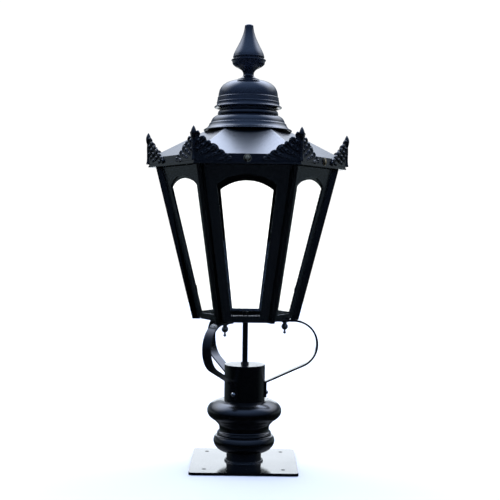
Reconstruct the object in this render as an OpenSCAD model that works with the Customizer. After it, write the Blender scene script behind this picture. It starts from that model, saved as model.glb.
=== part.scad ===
// A six-sided pillar lantern on a short post with a cast pedestal and a bolt-down plate.
// Millimetres. The origin is the middle of the plate's underside, and the lantern's front face
// looks along -Y. Corners stand at 0, 60 ... 300 degrees, faces halfway between them.

/* [Base plate] */
// Side of the square plate
plate_w = 230; // [210:1:280]
// Thickness of the plate
plate_t = 6; // [4:0.5:12]
// Corner radius of the plate
plate_corner_r = 8; // [3:0.5:20]
// Distance between neighbouring bolt holes
bolt_spacing = 167; // [150:1:185]
// Diameter of the four bolt holes
bolt_hole_d = 9; // [6:0.5:14]
// Diameter of the cable hole in the middle of the plate
cable_hole_d = 50; // [25:1:60]

/* [Post tube] */
// Outside diameter of the post tube
post_d = 76.1; // [72:0.1:80]
// Wall of the post tube
post_wall = 3.6; // [2:0.1:6]
// Bare tube between the plate and the casting
foot_gap = 21; // [14:0.5:40]
// Leg length of the weld round the tube's foot
weld_leg = 4.5; // [2:0.5:8]

/* [Pedestal casting] */
// Widest radius of the lower roll
lower_roll_r = 67; // [62:0.5:76]
// Height of the lower roll
lower_roll_h = 36; // [32:0.5:44]
// Radius of the waist between the rolls
waist_r = 54.5; // [52:0.5:58]
// Height of the waist, from the lower roll to the cove
waist_h = 21; // [18:0.5:32]
// Widest radius of the upper roll
upper_roll_r = 81.3; // [75:0.1:92]
// Height of the cove and the upper roll together
upper_roll_h = 56.5; // [50:0.5:70]
// Wall of the casting
casting_wall = 6; // [4:0.5:7]

/* [Collar and legs] */
// Radial play between the post tube and the collar
collar_play = 1.4; // [0.4:0.1:2]
// Wall of the collar tube
collar_wall = 5; // [3:0.5:7]
// Height of the collar
collar_h = 76; // [66:1:100]
// Thickness of the collar's cap
cap_t = 5; // [3:0.5:8]
// Height of the legs above the collar
frog_h = 98.8; // [85:0.1:110]
// Width of the leg straps
strap_w = 20; // [14:0.5:26]
// Thickness of the leg straps
strap_t = 4; // [3:0.5:6]
// Outside radius of the bow of a leg
bow_r = 53; // [44:0.5:60]
// Radius from the axis to the outermost point of a leg
leg_reach = 159.5; // [145:0.5:175]
// Slope of the straight lower part of a leg, in degrees
leg_rake = 24.5; // [18:0.5:30]
// Length of the foot that lies on the collar
leg_foot_l = 30; // [24:1:34]
// Radius of the circle of the three floor bolts
floor_bolt_r = 86; // [80:0.5:88]
// Length of a drop nut below its strap
drop_nut_l = 27; // [18:0.5:34]

/* [Cable tube] */
// Outside diameter of the cable tube
tube_d = 12; // [9:0.5:16]
// Wall of the cable tube
tube_wall = 1.2; // [0.8:0.1:2]

/* [Lantern body] */
// Height of the glazed body
body_h = 328; // [300:1:380]
// Corner radius of the panel planes at the bottom
body_foot_r = 106; // [102:0.5:115]
// Corner radius of the panel planes at the top
body_head_r = 189; // [170:0.5:195]
// Thickness of the side panels
panel_t = 2.5; // [1.5:0.5:4]
// Width of a corner rib
rib_w = 8; // [6:0.5:10]
// How far a rib stands proud of the panel corner
rib_proud = 9.6; // [4:0.1:14]
// How far a rib reaches inside the panel corner
rib_root = 8; // [6:0.5:12]
// Width of a rib's wing behind each panel
wing_w = 10; // [8:0.5:11]
// Thickness of a rib's wing
wing_t = 2; // [1:0.5:3]
// Height of the panels' lower edge above the floor plate's underside
panel_lift = 3.5; // [2:0.5:5]
// Height of the sill of the openings
sill_h = 15.3; // [15:0.1:22]
// Distance from the corner to the opening at the sill
stile_foot = 25; // [24:0.5:30]
// Distance from the corner to the opening at the springing
stile_head = 28; // [25:0.5:34]
// Height of the rail left above the arches
head_rail_h = 18.5; // [17:0.5:40]
// Rise of the arches
arch_rise = 22.5; // [12:0.5:28]
// Thickness of the panes
pane_t = 3; // [2:0.5:4]
// Lap of the panes behind the edge of the openings
pane_lap = 5; // [3:0.5:5.5]

/* [Gallery] */
// Corner radius of the fascia
gallery_r = 214; // [205:0.5:225]
// Height of the fascia
fascia_h = 16.8; // [15:0.1:26]
// Thickness of the fascia
fascia_t = 3; // [2:0.5:4]
// Thickness of the top frame's flange
flange_t = 3; // [2:0.5:5]
// How far the flange stands out below the fascia
flange_lip = 1.4; // [0:0.1:4]
// Diameter of the fascia screws' heads
screw_head_d = 13.5; // [9:0.5:15]

/* [Crowns] */
// Height of a crown above the underside of the gallery
crown_h = 75; // [60:0.5:85]
// Length of a crown's wing along the fascia
crown_reach = 74; // [60:0.5:85]
// How far a crown bellies out in front of the corner
crown_belly = 7.3; // [6:0.1:11]
// Radius of a crown's spine
spine_r = 3.6; // [2.5:0.1:5]
// Thickness of a crown's plate
crown_plate_t = 3; // [2:0.5:4]
// Height of the raised leaves on the plate
leaf_t = 1.6; // [1:0.1:2.5]
// Height of the veins on the leaves
vein_t = 1.2; // [0.6:0.1:2]

/* [Roof] */
// Slope of the hips, in degrees
hip_pitch = 26.7; // [22:0.1:30]
// Thickness of the roof sheet
roof_t = 2; // [1:0.1:3]
// Corner radius of the hole at the top of the roof
roof_hole_r = 80; // [76:0.5:84]

/* [Chimney] */
// Radius of the chimney's skirt
skirt_r = 96; // [90:0.5:104]
// Height of the skirt
skirt_h = 45; // [42:0.5:56]
// Thickness of the spun sheet
spun_t = 1.5; // [1:0.1:2.5]
// Outside radius of the vent neck
neck_r = 57.5; // [50:0.5:58]
// Radius of the dome's rim
dome_rim_r = 73.4; // [70:0.1:80]
// Height of the dome from its rim to its top
dome_h = 61; // [54:0.5:72]
// Number of slots in the vent neck
vent_slots = 12; // [6:1:18]

/* [Finial] */
// Height of the finial
finial_h = 121; // [100:0.5:140]
// Widest radius of the finial
finial_r = 38; // [32:0.1:42]
// Diameter of the finial's stud
stud_d = 10; // [8:0.5:12]

/* [Lamp] */
// Diameter of the lamp's bulb
bulb_d = 60; // [50:1:70]
// Length of the lamp's bulb below its cap
bulb_l = 72; // [66:1:84]
// Diameter of the lamp's cap
lamp_cap_d = 26; // [24:0.5:27]
// Outside diameter of the lampholder
holder_d = 42; // [36:0.5:46]
// Length of the lampholder
holder_l = 52; // [48:0.5:58]

/* [Clearances] */
// Radial clearance of a running fit
running_fit = 0.05; // [0.02:0.01:0.1]
// Gap between pieces that move on each other without a fit
free_gap = 0.4; // [0.3:0.05:0.6]
// Radial gap round screws and sleeves in one body
screw_gap = 0.2; // [0.1:0.05:0.4]

/* [Hidden] */
$fn = 64;
SIDES = 6;
STEP_A = 360 / SIDES;
HALF_A = STEP_A / 2;
LEG_AZIMUTHS = [0, 120, 240];
BIG = 400;

// Height of the skirt's rim above the line of the hips
hip_gap = 1.5;

// Heights, from the ground up
casting_z = plate_t + foot_gap;
waist_z = casting_z + lower_roll_h;
upper_z = waist_z + waist_h;
joint_z = waist_z + 5.6;
casting_top_z = upper_z + upper_roll_h;
collar_z = casting_top_z + 1;
collar_top_z = collar_z + collar_h;
body_z = collar_top_z + frog_h;
gallery_z = body_z + body_h;
fascia_z = gallery_z + flange_t + free_gap / 2;
eaves_z = fascia_z + fascia_h;
roof_top_z = eaves_z + (gallery_r - roof_hole_r) * tan(hip_pitch);
neck_z = roof_top_z + 3;
rim_z = eaves_z + (gallery_r - skirt_r) * tan(hip_pitch) + hip_gap;
skirt_top_z = rim_z + skirt_h;
dome_z = skirt_top_z + 5;
dome_top_z = dome_z + dome_h;
finial_z = dome_top_z;

// Post and collar
post_r = post_d / 2;
collar_in_r = post_r + collar_play;
collar_r = collar_in_r + collar_wall;
post_top_z = collar_top_z - cap_t - running_fit;

// Fasteners: shank radii, heads and nuts
floor_bolt_shank_r = 3;
leg_screw_shank_r = 2.5;
fascia_screw_shank_r = 2.5;
crown_stud_r = 2;
grub_r = 3;
m6_nut_r = 5.8;
m5_nut_r = 4.6;
m4_nut_r = 4.1;
nut_t = 4;
washer_t = 1;

// Legs: the centre of the bow, and where the straight part meets the collar
bow_x = leg_reach - bow_r;
bow_z = body_z - bow_r;
strap_in_x = floor_bolt_r - 19;
rake_x = bow_x + bow_r * sin(leg_rake);
rake_z = bow_z - bow_r * cos(leg_rake);
foot_x = collar_r + screw_gap / 4;
foot_top_z = rake_z - (rake_x - foot_x) * tan(leg_rake);
leg_screw_z = foot_top_z - leg_foot_l * 0.66;

// Cable tube
tube_r = tube_d / 2;
tube_nut_r = tube_r + 2.4;
tube_nut_t = 5;
tube_top_z = body_z + panel_lift + tube_nut_t + 9;

// Body: the slope of the panel planes
apothem = cos(HALF_A);
foot_a = body_foot_r * apothem;
head_a = body_head_r * apothem;
tilt = atan((head_a - foot_a) / body_h);
slant = body_h / cos(tilt);
panel_edge = rib_w / 2 / sin(STEP_A) + panel_t * tan(HALF_A) + screw_gap;
pane_edge = wing_w + 9;
spring_h = body_h - head_rail_h - arch_rise;
clip_places = [slant * 0.18, slant * 0.72];
floor_r = body_foot_r - rib_root - 0.5;
frame_h = sill_h - pane_lap - panel_lift - 0.5;
frame_w = 9;
top_rail_h = 9;
wing_w_gap = 1;

// Gallery
fascia_a = gallery_r * apothem;
screw_z = fascia_z + fascia_h / 2;
lug_t = 3;
lug_w = 24;
lug_out_a = fascia_a - fascia_t - free_gap;
flange_in_r = body_head_r - 28;
crown_stud_s = 24;
SCREW_FACES = [1, 2, 4, 5];

// Leaf lobes of a crown's wing: along the wing, up the crown, and radius, as shares
LOBES = [[0.095, 0.77, 0.074], [0.23, 0.62, 0.108], [0.5, 0.35, 0.185], [0.72, 0.24, 0.135],
    [0.885, 0.165, 0.107]];

// Radius of the round root that the leaves, and the veins on them, fan out from
leaf_root_r = 4.2;
vein_root_r = 1.7;

// Chimney and stud
ring_out_r = roof_hole_r - 3;
ring_t = neck_z - roof_top_z;
neck_top_z = skirt_top_z + 16;
slot_z = skirt_top_z + 10;
bar_t = 4;
bar_w = 20;
bar_z = neck_top_z;
stud_r = stud_d / 2;
stud_nut_r = stud_r + 3.6;
stud_nut_t = 7;
stud_low_z = bar_z - 28;
stud_top_z = finial_z + finial_h * 0.32;

// Lamp
cap_r = lamp_cap_d / 2;
holder_top_z = bar_z - 18;
holder_z = holder_top_z - holder_l;
lamp_cap_z = holder_z + 4;
lamp_cap_h = 24;
bulb_z = lamp_cap_z - bulb_l;

// Points along an arc, from angle a to angle b in n steps
function arc(c, r, a, b, n) = [for (i = [0:n]) let (t = a + (b - a) * i / n) c + r * [cos(t), sin(t)]];

// Points along a cubic curve with two handles, in n steps
function curve(p, q, u, v, n) =
    [for (i = [0:n]) let (t = i / n, s = 1 - t)
        s * s * s * p + 3 * s * s * t * q + 3 * s * t * t * u + t * t * t * v];

function reversed(list) = [for (i = [len(list) - 1:-1:0]) list[i]];

function tail(list) = [for (i = [1:len(list) - 1]) list[i]];

// The inside of a spun sheet: the outline moved in and down by the thickness t. Beads stay solid,
// and so does the rim up to the height low
function inner(list, t, low) = reversed([
    for (i = [0:len(list) - 1])
        if (list[i][1] > low + t && list[i][0] < min([for (j = [0:i]) j < i ? list[j][0] : BIG]))
            list[i] - [t, t]
]);

// Corner radius of the panel planes at height z above the body's foot
function corner_r(z) = body_foot_r + (body_head_r - body_foot_r) * z / body_h;

// Half the width of a panel plane at the distance y up its slope
function half_w(y) = corner_r(y * cos(tilt)) / 2;

module ring(out_r, in_r, h) {
    difference() {
        cylinder(h = h, r = out_r);
        translate([0, 0, -1]) cylinder(h = h + 2, r = in_r);
    }
}

module hex_ring(out_r, in_r, h) {
    linear_extrude(height = h) difference() {
        circle(r = out_r, $fn = SIDES);
        circle(r = in_r, $fn = SIDES);
    }
}

module hex_nut(r, bore, h) {
    linear_extrude(height = h) difference() {
        circle(r = r, $fn = 6);
        circle(r = bore);
    }
}

// A low domed screw head on its flat side
module round_head(r, h) {
    rotate_extrude() polygon(concat([[0, 0]], curve([r, 0], [r * 0.95, h * 0.7], [r * 0.6, h], [0, h], 6)));
}

module at_corner(k) {
    rotate([0, 0, STEP_A * k]) children();
}

module at_face(k) {
    rotate([0, 0, STEP_A * k + HALF_A]) children();
}

// Puts a drawing on the outer plane of side panel k: x along the face, y up its slope, z outwards
module on_panel(k) {
    at_face(k) translate([foot_a, 0, body_z]) rotate([0, tilt, 0]) rotate([90, 0, 90]) children();
}

// Points a screw drawn along +z outwards, square to fascia face k at height z
module through_fascia(k, a, z) {
    at_face(k) translate([a, 0, z]) rotate([0, 90, 0]) children();
}

module on_legs() {
    for (a = LEG_AZIMUTHS) rotate([0, 0, a]) children();
}

// Base

module base_plate() {
    inset = plate_w / 2 - plate_corner_r;
    color([0.03, 0.03, 0.04]) linear_extrude(height = plate_t) difference() {
        union() {
            square([plate_w, 2 * inset], center = true);
            square([2 * inset, plate_w], center = true);
            for (x = [-inset, inset], y = [-inset, inset]) translate([x, y]) circle(r = plate_corner_r);
        }
        for (x = [-1, 1], y = [-1, 1]) translate([x, y] * bolt_spacing / 2) circle(d = bolt_hole_d);
        circle(d = cable_hole_d);
    }
}

module post_tube() {
    toe = [post_r + weld_leg, plate_t];
    top = [post_r, plate_t + weld_leg];
    bulge = [post_r + weld_leg * 0.7, plate_t + weld_leg * 0.7];
    color([0.03, 0.03, 0.04]) {
        translate([0, 0, plate_t]) ring(post_r, post_r - post_wall, post_top_z - plate_t);
        rotate_extrude()
            polygon([[post_r - 1, plate_t], toe, bulge, top, [post_r - 1, plate_t + weld_leg]]);
    }
}

// Outline of the lower casting: a full roll with a ledge on it
function foot_outline() = let (
    roll = lower_roll_r,
    roll_z = casting_z + lower_roll_h * 0.68,
    band = waist_r + 4.5
) concat(
    curve([post_r + 1, casting_z], [post_r + 10, casting_z], [roll - 1, casting_z + 7], [roll, roll_z], 10),
    tail(curve([roll, roll_z], [roll, roll_z + 4],
        [roll - 2, waist_z - 3], [roll - 3.2, waist_z - 1.4], 4)),
    [[band, waist_z + 0.4], [band + 0.4, waist_z + 4.6], [band - 1, waist_z + 5.4]]
);

// Outline of the upper casting: a small bead, the waist, a cove and the upper roll
function bell_outline() = let (
    band = waist_r + 4,
    cove_r = waist_r + 10,
    cove_z = upper_z + upper_roll_h * 0.2,
    wide = upper_roll_r,
    wide_z = upper_z + upper_roll_h * 0.58,
    shoulder = collar_r + 1.5
) concat(
    [[band - 0.6, joint_z], [band + 0.2, joint_z + 0.7], [band, joint_z + 1.7],
        [waist_r + 0.4, joint_z + 4]],
    curve([waist_r, upper_z - 8], [waist_r, upper_z + 3], [waist_r + 6, upper_z + 6], [cove_r, cove_z], 7),
    tail(curve([cove_r, cove_z], [cove_r + 5.5, cove_z + 4], [wide, cove_z + 9], [wide, wide_z], 9)),
    tail(curve([wide, wide_z], [wide, wide_z + 13],
        [wide - 16, casting_top_z], [shoulder, casting_top_z], 9))
);

// A turned casting round the post, from height low to height high, hollow behind its wall
module casting(outline, low, high) {
    bore = post_r + screw_gap;
    inside = [for (p = outline) if (p[1] > low + casting_wall && p[1] < high - casting_wall)
        p - [casting_wall, 0]];
    rotate_extrude() polygon(concat([[bore, low]], outline, [[bore, high], [bore, high - casting_wall]],
        reversed(inside), [[bore, low + casting_wall]]));
}

module pedestal_foot() {
    color([0.03, 0.03, 0.04]) casting(foot_outline(), casting_z, joint_z);
}

module pedestal_bell() {
    color([0.03, 0.03, 0.04]) difference() {
        casting(bell_outline(), joint_z, casting_top_z);
        grubs_at() cylinder(h = BIG, r = grub_r + screw_gap / 4);
    }
}

// Two grub screws at the back of the waist hold the casting on the post
module grubs_at() {
    for (a = [60, 120]) rotate([0, 0, a]) translate([post_r, 0, waist_z + 18])
        rotate([0, 90, 0]) children();
}

module casting_grubs() {
    color([0.1, 0.1, 0.1]) grubs_at() difference() {
        cylinder(h = waist_r - post_r - 1, r = grub_r);
        translate([0, 0, waist_r - post_r - 4]) cylinder(h = 5, r = grub_r / 2, $fn = 6);
    }
}

// Collar and legs

module frog_collar() {
    color([0.03, 0.03, 0.05]) difference() {
        translate([0, 0, collar_z]) ring(collar_r, collar_in_r, collar_h - cap_t);
        leg_screws_at() translate([0, 0, -strap_t - 2 * collar_wall])
            cylinder(h = strap_t + 3 * collar_wall, r = leg_screw_shank_r + screw_gap);
    }
}

// Two sleeves inside the collar guide it on the post
module guide_sleeves() {
    sleeve_l = 11;
    color([0.75, 0.72, 0.65]) for (z = [collar_z + 1, collar_top_z - cap_t - sleeve_l - 1])
        translate([0, 0, z])
        ring(collar_in_r - screw_gap / 4, post_r + running_fit, sleeve_l);
}

module collar_cap() {
    color([0.03, 0.03, 0.05]) translate([0, 0, collar_top_z - cap_t])
        ring(collar_r, tube_r + screw_gap, cap_t);
}

// The axis of each leg's lower screw, drawn along +z outwards
module leg_screws_at() {
    on_legs() translate([foot_x + strap_t, 0, leg_screw_z]) rotate([0, 90, 0]) children();
}

// The side view of all that lies inside a leg's bow of radius r, from x outwards
module bow_region(r, x) {
    low = [bow_x + r * sin(leg_rake), bow_z - r * cos(leg_rake)];
    into = (low[0] - post_r) / cos(leg_rake);
    polygon([[x, bow_z], [x, bow_z + r], [bow_x, bow_z + r], [bow_x, bow_z], low,
        low - into * [cos(leg_rake), sin(leg_rake)]]);
    translate([bow_x, bow_z]) circle(r = r);
}

// One leg lies along +X: under the floor, round the bow, and down to the collar
module leg(azimuth) {
    color([0.05, 0.05, 0.07]) rotate([0, 0, azimuth]) difference() {
        union() {
            rotate([90, 0, 0]) linear_extrude(height = strap_w, center = true) difference() {
                bow_region(bow_r, strap_in_x);
                bow_region(bow_r - strap_t, 0);
            }
            leg_foot();
        }
        translate([floor_bolt_r, 0, body_z - strap_t - 1])
            cylinder(h = strap_t + 2, r = floor_bolt_shank_r + screw_gap);
        cylinder(h = BIG, r = foot_x);
        translate([foot_x - 1, 0, leg_screw_z]) rotate([0, 90, 0])
            cylinder(h = strap_t + 2, r = leg_screw_shank_r + screw_gap);
    }
}

// The foot is rolled to the collar's curve
module leg_foot() {
    foot_h = leg_foot_l + strap_t * 0.9;
    translate([0, 0, foot_top_z - leg_foot_l]) intersection() {
        ring(foot_x + strap_t, foot_x, foot_h);
        translate([0, -strap_w / 2, -1]) cube([BIG, strap_w, foot_h + 2]);
    }
}

module leg_right() leg(LEG_AZIMUTHS[0]);
module leg_rear() leg(LEG_AZIMUTHS[1]);
module leg_front() leg(LEG_AZIMUTHS[2]);

// Round-head screws fix the legs to the collar and, run in, grip the post
module leg_screws() {
    shank_l = foot_x + strap_t - post_r - free_gap;
    color([0.5, 0.5, 0.52]) leg_screws_at() {
        round_head(5, 3.2);
        translate([0, 0, -shank_l]) cylinder(h = shank_l, r = leg_screw_shank_r);
    }
}

// Cable tube

module cable_tube() {
    low_z = collar_top_z - cap_t;
    color([0.02, 0.02, 0.03]) translate([0, 0, low_z]) ring(tube_r, tube_r - tube_wall, tube_top_z - low_z);
}

module tube_nuts() {
    bore = tube_r + screw_gap / 2;
    color([0.1, 0.1, 0.11]) for (z = [collar_top_z, body_z - tube_nut_t, body_z + panel_lift])
        translate([0, 0, z]) hex_nut(tube_nut_r, bore, tube_nut_t);
}

// Lantern floor

module floor_plate() {
    color([0.05, 0.05, 0.06]) translate([0, 0, body_z]) linear_extrude(height = panel_lift) difference() {
        circle(r = floor_r, $fn = SIDES);
        circle(r = tube_r + screw_gap);
        for (a = LEG_AZIMUTHS) rotate(a) translate([floor_bolt_r, 0])
            circle(r = floor_bolt_shank_r + screw_gap);
    }
}

module floor_bolts() {
    shank_l = panel_lift + strap_t + drop_nut_l * 0.45;
    color([0.3, 0.3, 0.3]) on_legs() translate([floor_bolt_r, 0, body_z + panel_lift]) {
        cylinder(h = nut_t, r = m6_nut_r, $fn = 6);
        translate([0, 0, -shank_l]) cylinder(h = shank_l, r = floor_bolt_shank_r);
    }
}

// Turned pendant nuts under the legs: a washer, a waist, a ball and a small end knob
module drop_nuts() {
    l = drop_nut_l;
    bore = floor_bolt_shank_r + screw_gap / 4;
    ball_r = l * 0.27;
    outline = concat(
        [[bore, 0], [7.2, 0], [7.2, -1.4], [bore + 1.3, -2.4], [bore + 1.3, -l * 0.2]],
        arc([0, -l * 0.4], ball_r, 40, -60, 8),
        [[2, -l * 0.66], [1.9, -l * 0.78]],
        arc([0, -l * 0.88], l * 0.12, 40, -90, 6),
        [[0, -l * 0.5], [bore, -l * 0.5]]
    );
    color([0.3, 0.3, 0.28]) on_legs() translate([floor_bolt_r, 0, body_z - strap_t])
        rotate_extrude($fn = 32) polygon(outline);
}

module bottom_frame() {
    color([0.04, 0.04, 0.05]) difference() {
        panel_ring(panel_lift, frame_h, frame_w);
        for (k = [0:SIDES - 1]) rib(k);
    }
}

// A hexagonal ring that lies against the inside of the panels, from z above the body's foot
module panel_ring(z, h, w) {
    sheet = panel_t / cos(tilt) / apothem;
    translate([0, 0, body_z + z]) difference() {
        cylinder(h = h, r1 = corner_r(z) - sheet, r2 = corner_r(z + h) - sheet, $fn = SIDES);
        translate([0, 0, -1]) linear_extrude(height = h + 2)
            circle(r = corner_r(z) - sheet - w, $fn = SIDES);
    }
}

// Body

// A corner rib: a nose bar that stands proud, and a wing behind each panel
module rib(k) {
    nose = [[body_foot_r - rib_root, body_z], [body_foot_r + rib_proud, body_z],
        [body_head_r + rib_proud, gallery_z], [body_head_r - rib_root, gallery_z]];
    at_corner(k) rotate([90, 0, 0]) linear_extrude(height = rib_w, center = true) polygon(nose);
    on_panel(k) rib_wing(-1);
    on_panel(k - 1) rib_wing(1);
}

// The wing covers the corner end of one panel, from above the floor to below the gallery
module rib_wing(side) {
    low = panel_lift / cos(tilt);
    high = (body_h - top_rail_h) / cos(tilt);
    translate([0, 0, -panel_t - wing_t]) linear_extrude(height = wing_t) polygon([
        [side * (half_w(low) - wing_w_gap), low], [side * (half_w(high) - wing_w_gap), high],
        [side * (half_w(high) - wing_w), high], [side * (half_w(low) - wing_w), low]
    ]);
}

module corner_rib(k) {
    color([0.02, 0.02, 0.03]) rib(k);
}

// The arched opening of a side panel, on the panel's plane
module arched_opening() {
    low = sill_h / cos(tilt);
    high = spring_h / cos(tilt);
    foot = half_w(low) - stile_foot;
    head = half_w(high) - stile_head;
    arch_r = (head * head + arch_rise * arch_rise) / (2 * arch_rise);
    polygon([[-foot, low], [foot, low], [head, high], [-head, high]]);
    intersection() {
        translate([0, high + arch_rise - arch_r]) circle(r = arch_r, $fn = 96);
        translate([-head, high - 1]) square([2 * head, arch_rise + 2]);
    }
}

module side_panel(k) {
    low = panel_lift / cos(tilt);
    high = slant - panel_t * tan(tilt);
    foot = half_w(low) - panel_edge;
    head = half_w(high) - panel_edge;
    color([0.02, 0.02, 0.03]) on_panel(k) translate([0, 0, -panel_t]) linear_extrude(height = panel_t)
        difference() {
            polygon([[-foot, low], [foot, low], [head, high], [-head, high]]);
            arched_opening();
        }
}

module pane(k) {
    low = (sill_h - pane_lap) / cos(tilt);
    high = (spring_h + arch_rise + pane_lap) / cos(tilt);
    foot = half_w(low) - pane_edge;
    head = half_w(high) - pane_edge;
    color([0.9, 0.95, 0.95, 0.3]) on_panel(k) translate([0, 0, -panel_t - pane_t])
        linear_extrude(height = pane_t) polygon([[-foot, low], [foot, low], [head, high], [-head, high]]);
}

// Four small clips hold each pane against its panel
module pane_clips() {
    clip_l = 12;
    foot_w = 6;
    cover_w = 11;
    cover_t = 1.2;
    color([0.1, 0.1, 0.1]) for (k = [0:SIDES - 1], side = [-1, 1], y = clip_places)
        on_panel(k) translate([side * (half_w(y) - pane_edge + 0.4), y, -panel_t])
            mirror([side < 0 ? 1 : 0, 0, 0]) {
            translate([1, 0, -pane_t]) cube([foot_w, clip_l, pane_t]);
            translate([foot_w + 1 - cover_w, 0, -pane_t - cover_t]) cube([cover_w, clip_l, cover_t]);
            translate([foot_w / 2 + 1, clip_l / 2, -pane_t - cover_t - 1.2])
                cylinder(h = 1.2, r = 2, $fn = 24);
        }
}

module top_frame() {
    color([0.02, 0.02, 0.04]) {
        difference() {
            union() {
                translate([0, 0, gallery_z]) hex_ring(gallery_r + flange_lip, flange_in_r, flange_t);
                panel_ring(body_h - top_rail_h, top_rail_h, 4);
            }
            for (k = [0:SIDES - 1]) rib(k);
        }
        for (k = SCREW_FACES) lug(k);
    }
}

// An upstand behind the fascia with a slot open at the top, so that the canopy lifts off its screws
module lug(k) {
    lug_h = fascia_h - 3;
    slot_r = fascia_screw_shank_r + free_gap;
    at_face(k) difference() {
        translate([lug_out_a - lug_t, -lug_w / 2, gallery_z + flange_t]) cube([lug_t, lug_w, lug_h]);
        translate([lug_out_a - lug_t - 1, 0, screw_z]) rotate([0, 90, 0])
            cylinder(h = lug_t + 2, r = slot_r);
        translate([lug_out_a - lug_t - 1, -slot_r, screw_z]) cube([lug_t + 2, 2 * slot_r, BIG]);
    }
}

// Canopy

module fascia() {
    color([0.03, 0.04, 0.07]) difference() {
        translate([0, 0, fascia_z]) hex_ring(gallery_r, gallery_r - fascia_t / apothem, fascia_h);
        for (k = SCREW_FACES) through_fascia(k, fascia_a - fascia_t - 1, screw_z)
            cylinder(h = fascia_t + 2, r = fascia_screw_shank_r + screw_gap);
        for (k = [0:SIDES - 1]) crown_studs_at(k)
            cylinder(h = fascia_t + 2, r = crown_stud_r + screw_gap);
    }
}

module fascia_screws() {
    shank_l = fascia_t + free_gap + lug_t + free_gap + nut_t + 1;
    head_r = screw_head_d / 2;
    color([0.35, 0.33, 0.28]) for (k = SCREW_FACES) through_fascia(k, fascia_a, screw_z) {
        cylinder(h = washer_t, r = head_r + 1.2);
        translate([0, 0, washer_t]) difference() {
            round_head(head_r, 3.4);
            translate([-BIG / 2, -0.8, 2]) cube([BIG, 1.6, 5]);
        }
        translate([0, 0, -shank_l]) cylinder(h = shank_l, r = fascia_screw_shank_r);
    }
}

module fascia_nuts() {
    nut_a = lug_out_a - lug_t - free_gap - nut_t;
    color([0.3, 0.3, 0.3]) for (k = SCREW_FACES) through_fascia(k, nut_a, screw_z)
        hex_nut(m5_nut_r, fascia_screw_shank_r + screw_gap / 4, nut_t);
}

// The two studs of the crown on corner k point inwards through the fascia
module crown_studs_at(k) {
    at_corner(k) for (side = [0, 1]) mirror([0, side, 0]) translate([gallery_r, 0, screw_z])
        rotate([0, 0, 2 * STEP_A]) translate([crown_stud_s, 0, 0]) rotate([-90, 0, 0])
        translate([0, 0, -0.5]) children();
}

// A cast leaf crown: a pointed spine on the corner and a scalloped leaf along each face
module crown(k) {
    low = fascia_z + 3;
    color([0.04, 0.05, 0.08]) {
        at_corner(k) {
            crown_spine(low);
            for (side = [0, 1]) mirror([0, side, 0]) translate([gallery_r, 0, 0])
                rotate([0, 0, 2 * STEP_A]) crown_wing(low);
        }
        crown_studs_at(k) translate([0, 0, -1]) cylinder(h = fascia_t + nut_t + 2, r = crown_stud_r);
    }
}

// The spine is a round rib that swells to a pointed bud over the corner
module crown_spine(low) {
    r = spine_r;
    h = crown_z(1) - low;
    bud = concat(
        curve([r, h * 0.64], [r * 1.15, h * 0.7], [r * 1.2, h * 0.8], [r * 1.05, h * 0.87], 6),
        curve([r, h * 0.88], [r * 0.85, h * 0.92], [r * 0.4, h * 0.96], [0, h], 6));
    translate([gallery_r + crown_belly - r, 0, low])
        rotate_extrude($fn = 48) polygon(concat([[0, 0], [r, 0]], bud));
}

// Height above the ground of a share of the crown's height
function crown_z(share) = gallery_z + crown_h * share;

// Where the middle of leaf lobe i lies on its wing: along the fascia, and above the ground
function lobe_at(i) = [crown_reach * LOBES[i][0], crown_z(LOBES[i][1])];

// Radius of leaf lobe i
function lobe_r(i) = LOBES[i][2] * min(crown_h, crown_reach);

// A tapering stroke from the root to a round end. It enters the round a little inside its edge
module leaf_stroke(root, end, r) {
    v = end - root;
    side = [v[1], -v[0]] * r * 0.93 / norm(v);
    polygon([root, end + side, end - side]);
    translate(end) circle(r = r, $fn = 32);
}

// One wing, drawn along +x from the corner, with its face towards -y: a scalloped plate, a raised
// leaf on each lobe, and a vein on each leaf. The plate runs a little past the corner, into the spine
module crown_wing(low) {
    past = crown_plate_t / 3;
    rotate([90, 0, 0]) {
        linear_extrude(height = crown_plate_t) {
            polygon(concat([[-past, low], [crown_reach * 0.95, low]],
                [for (i = [len(LOBES) - 1:-1:0]) lobe_at(i)], [[-past, crown_z(0.93)]]));
            for (i = [0:len(LOBES) - 1]) translate(lobe_at(i)) circle(r = lobe_r(i));
        }
        translate([0, 0, crown_plate_t]) linear_extrude(height = leaf_t) leaf_fan(low, 0.74, leaf_root_r);
        translate([0, 0, crown_plate_t + leaf_t]) linear_extrude(height = vein_t)
            leaf_fan(low, 0.22, vein_root_r);
    }
}

// Strokes that fan out from a round root to every lobe, each as wide as a share of its lobe
module leaf_fan(low, share, root_r) {
    root = [6, low + 5];
    translate(root) circle(r = root_r, $fn = 32);
    for (i = [0:len(LOBES) - 1]) leaf_stroke(root, lobe_at(i), lobe_r(i) * share);
}

module crown_nuts() {
    color([0.3, 0.3, 0.3]) for (k = [0:SIDES - 1]) crown_studs_at(k) translate([0, 0, fascia_t + 0.5])
        hex_nut(m4_nut_r, crown_stud_r + screw_gap / 2, 3.2);
}

// The roof is a folded sheet with six hips
module roof() {
    rise = roof_top_z - eaves_z;
    sheet = roof_t / sin(hip_pitch);
    color([0.1, 0.11, 0.15]) translate([0, 0, eaves_z]) difference() {
        cylinder(h = rise, r1 = gallery_r, r2 = roof_hole_r, $fn = SIDES);
        cylinder(h = rise, r1 = gallery_r - sheet, r2 = roof_hole_r - sheet, $fn = SIDES);
    }
}

module chimney_ring() {
    color([0.03, 0.03, 0.05]) translate([0, 0, roof_top_z]) ring(ring_out_r, neck_r - 6, ring_t);
}

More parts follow.
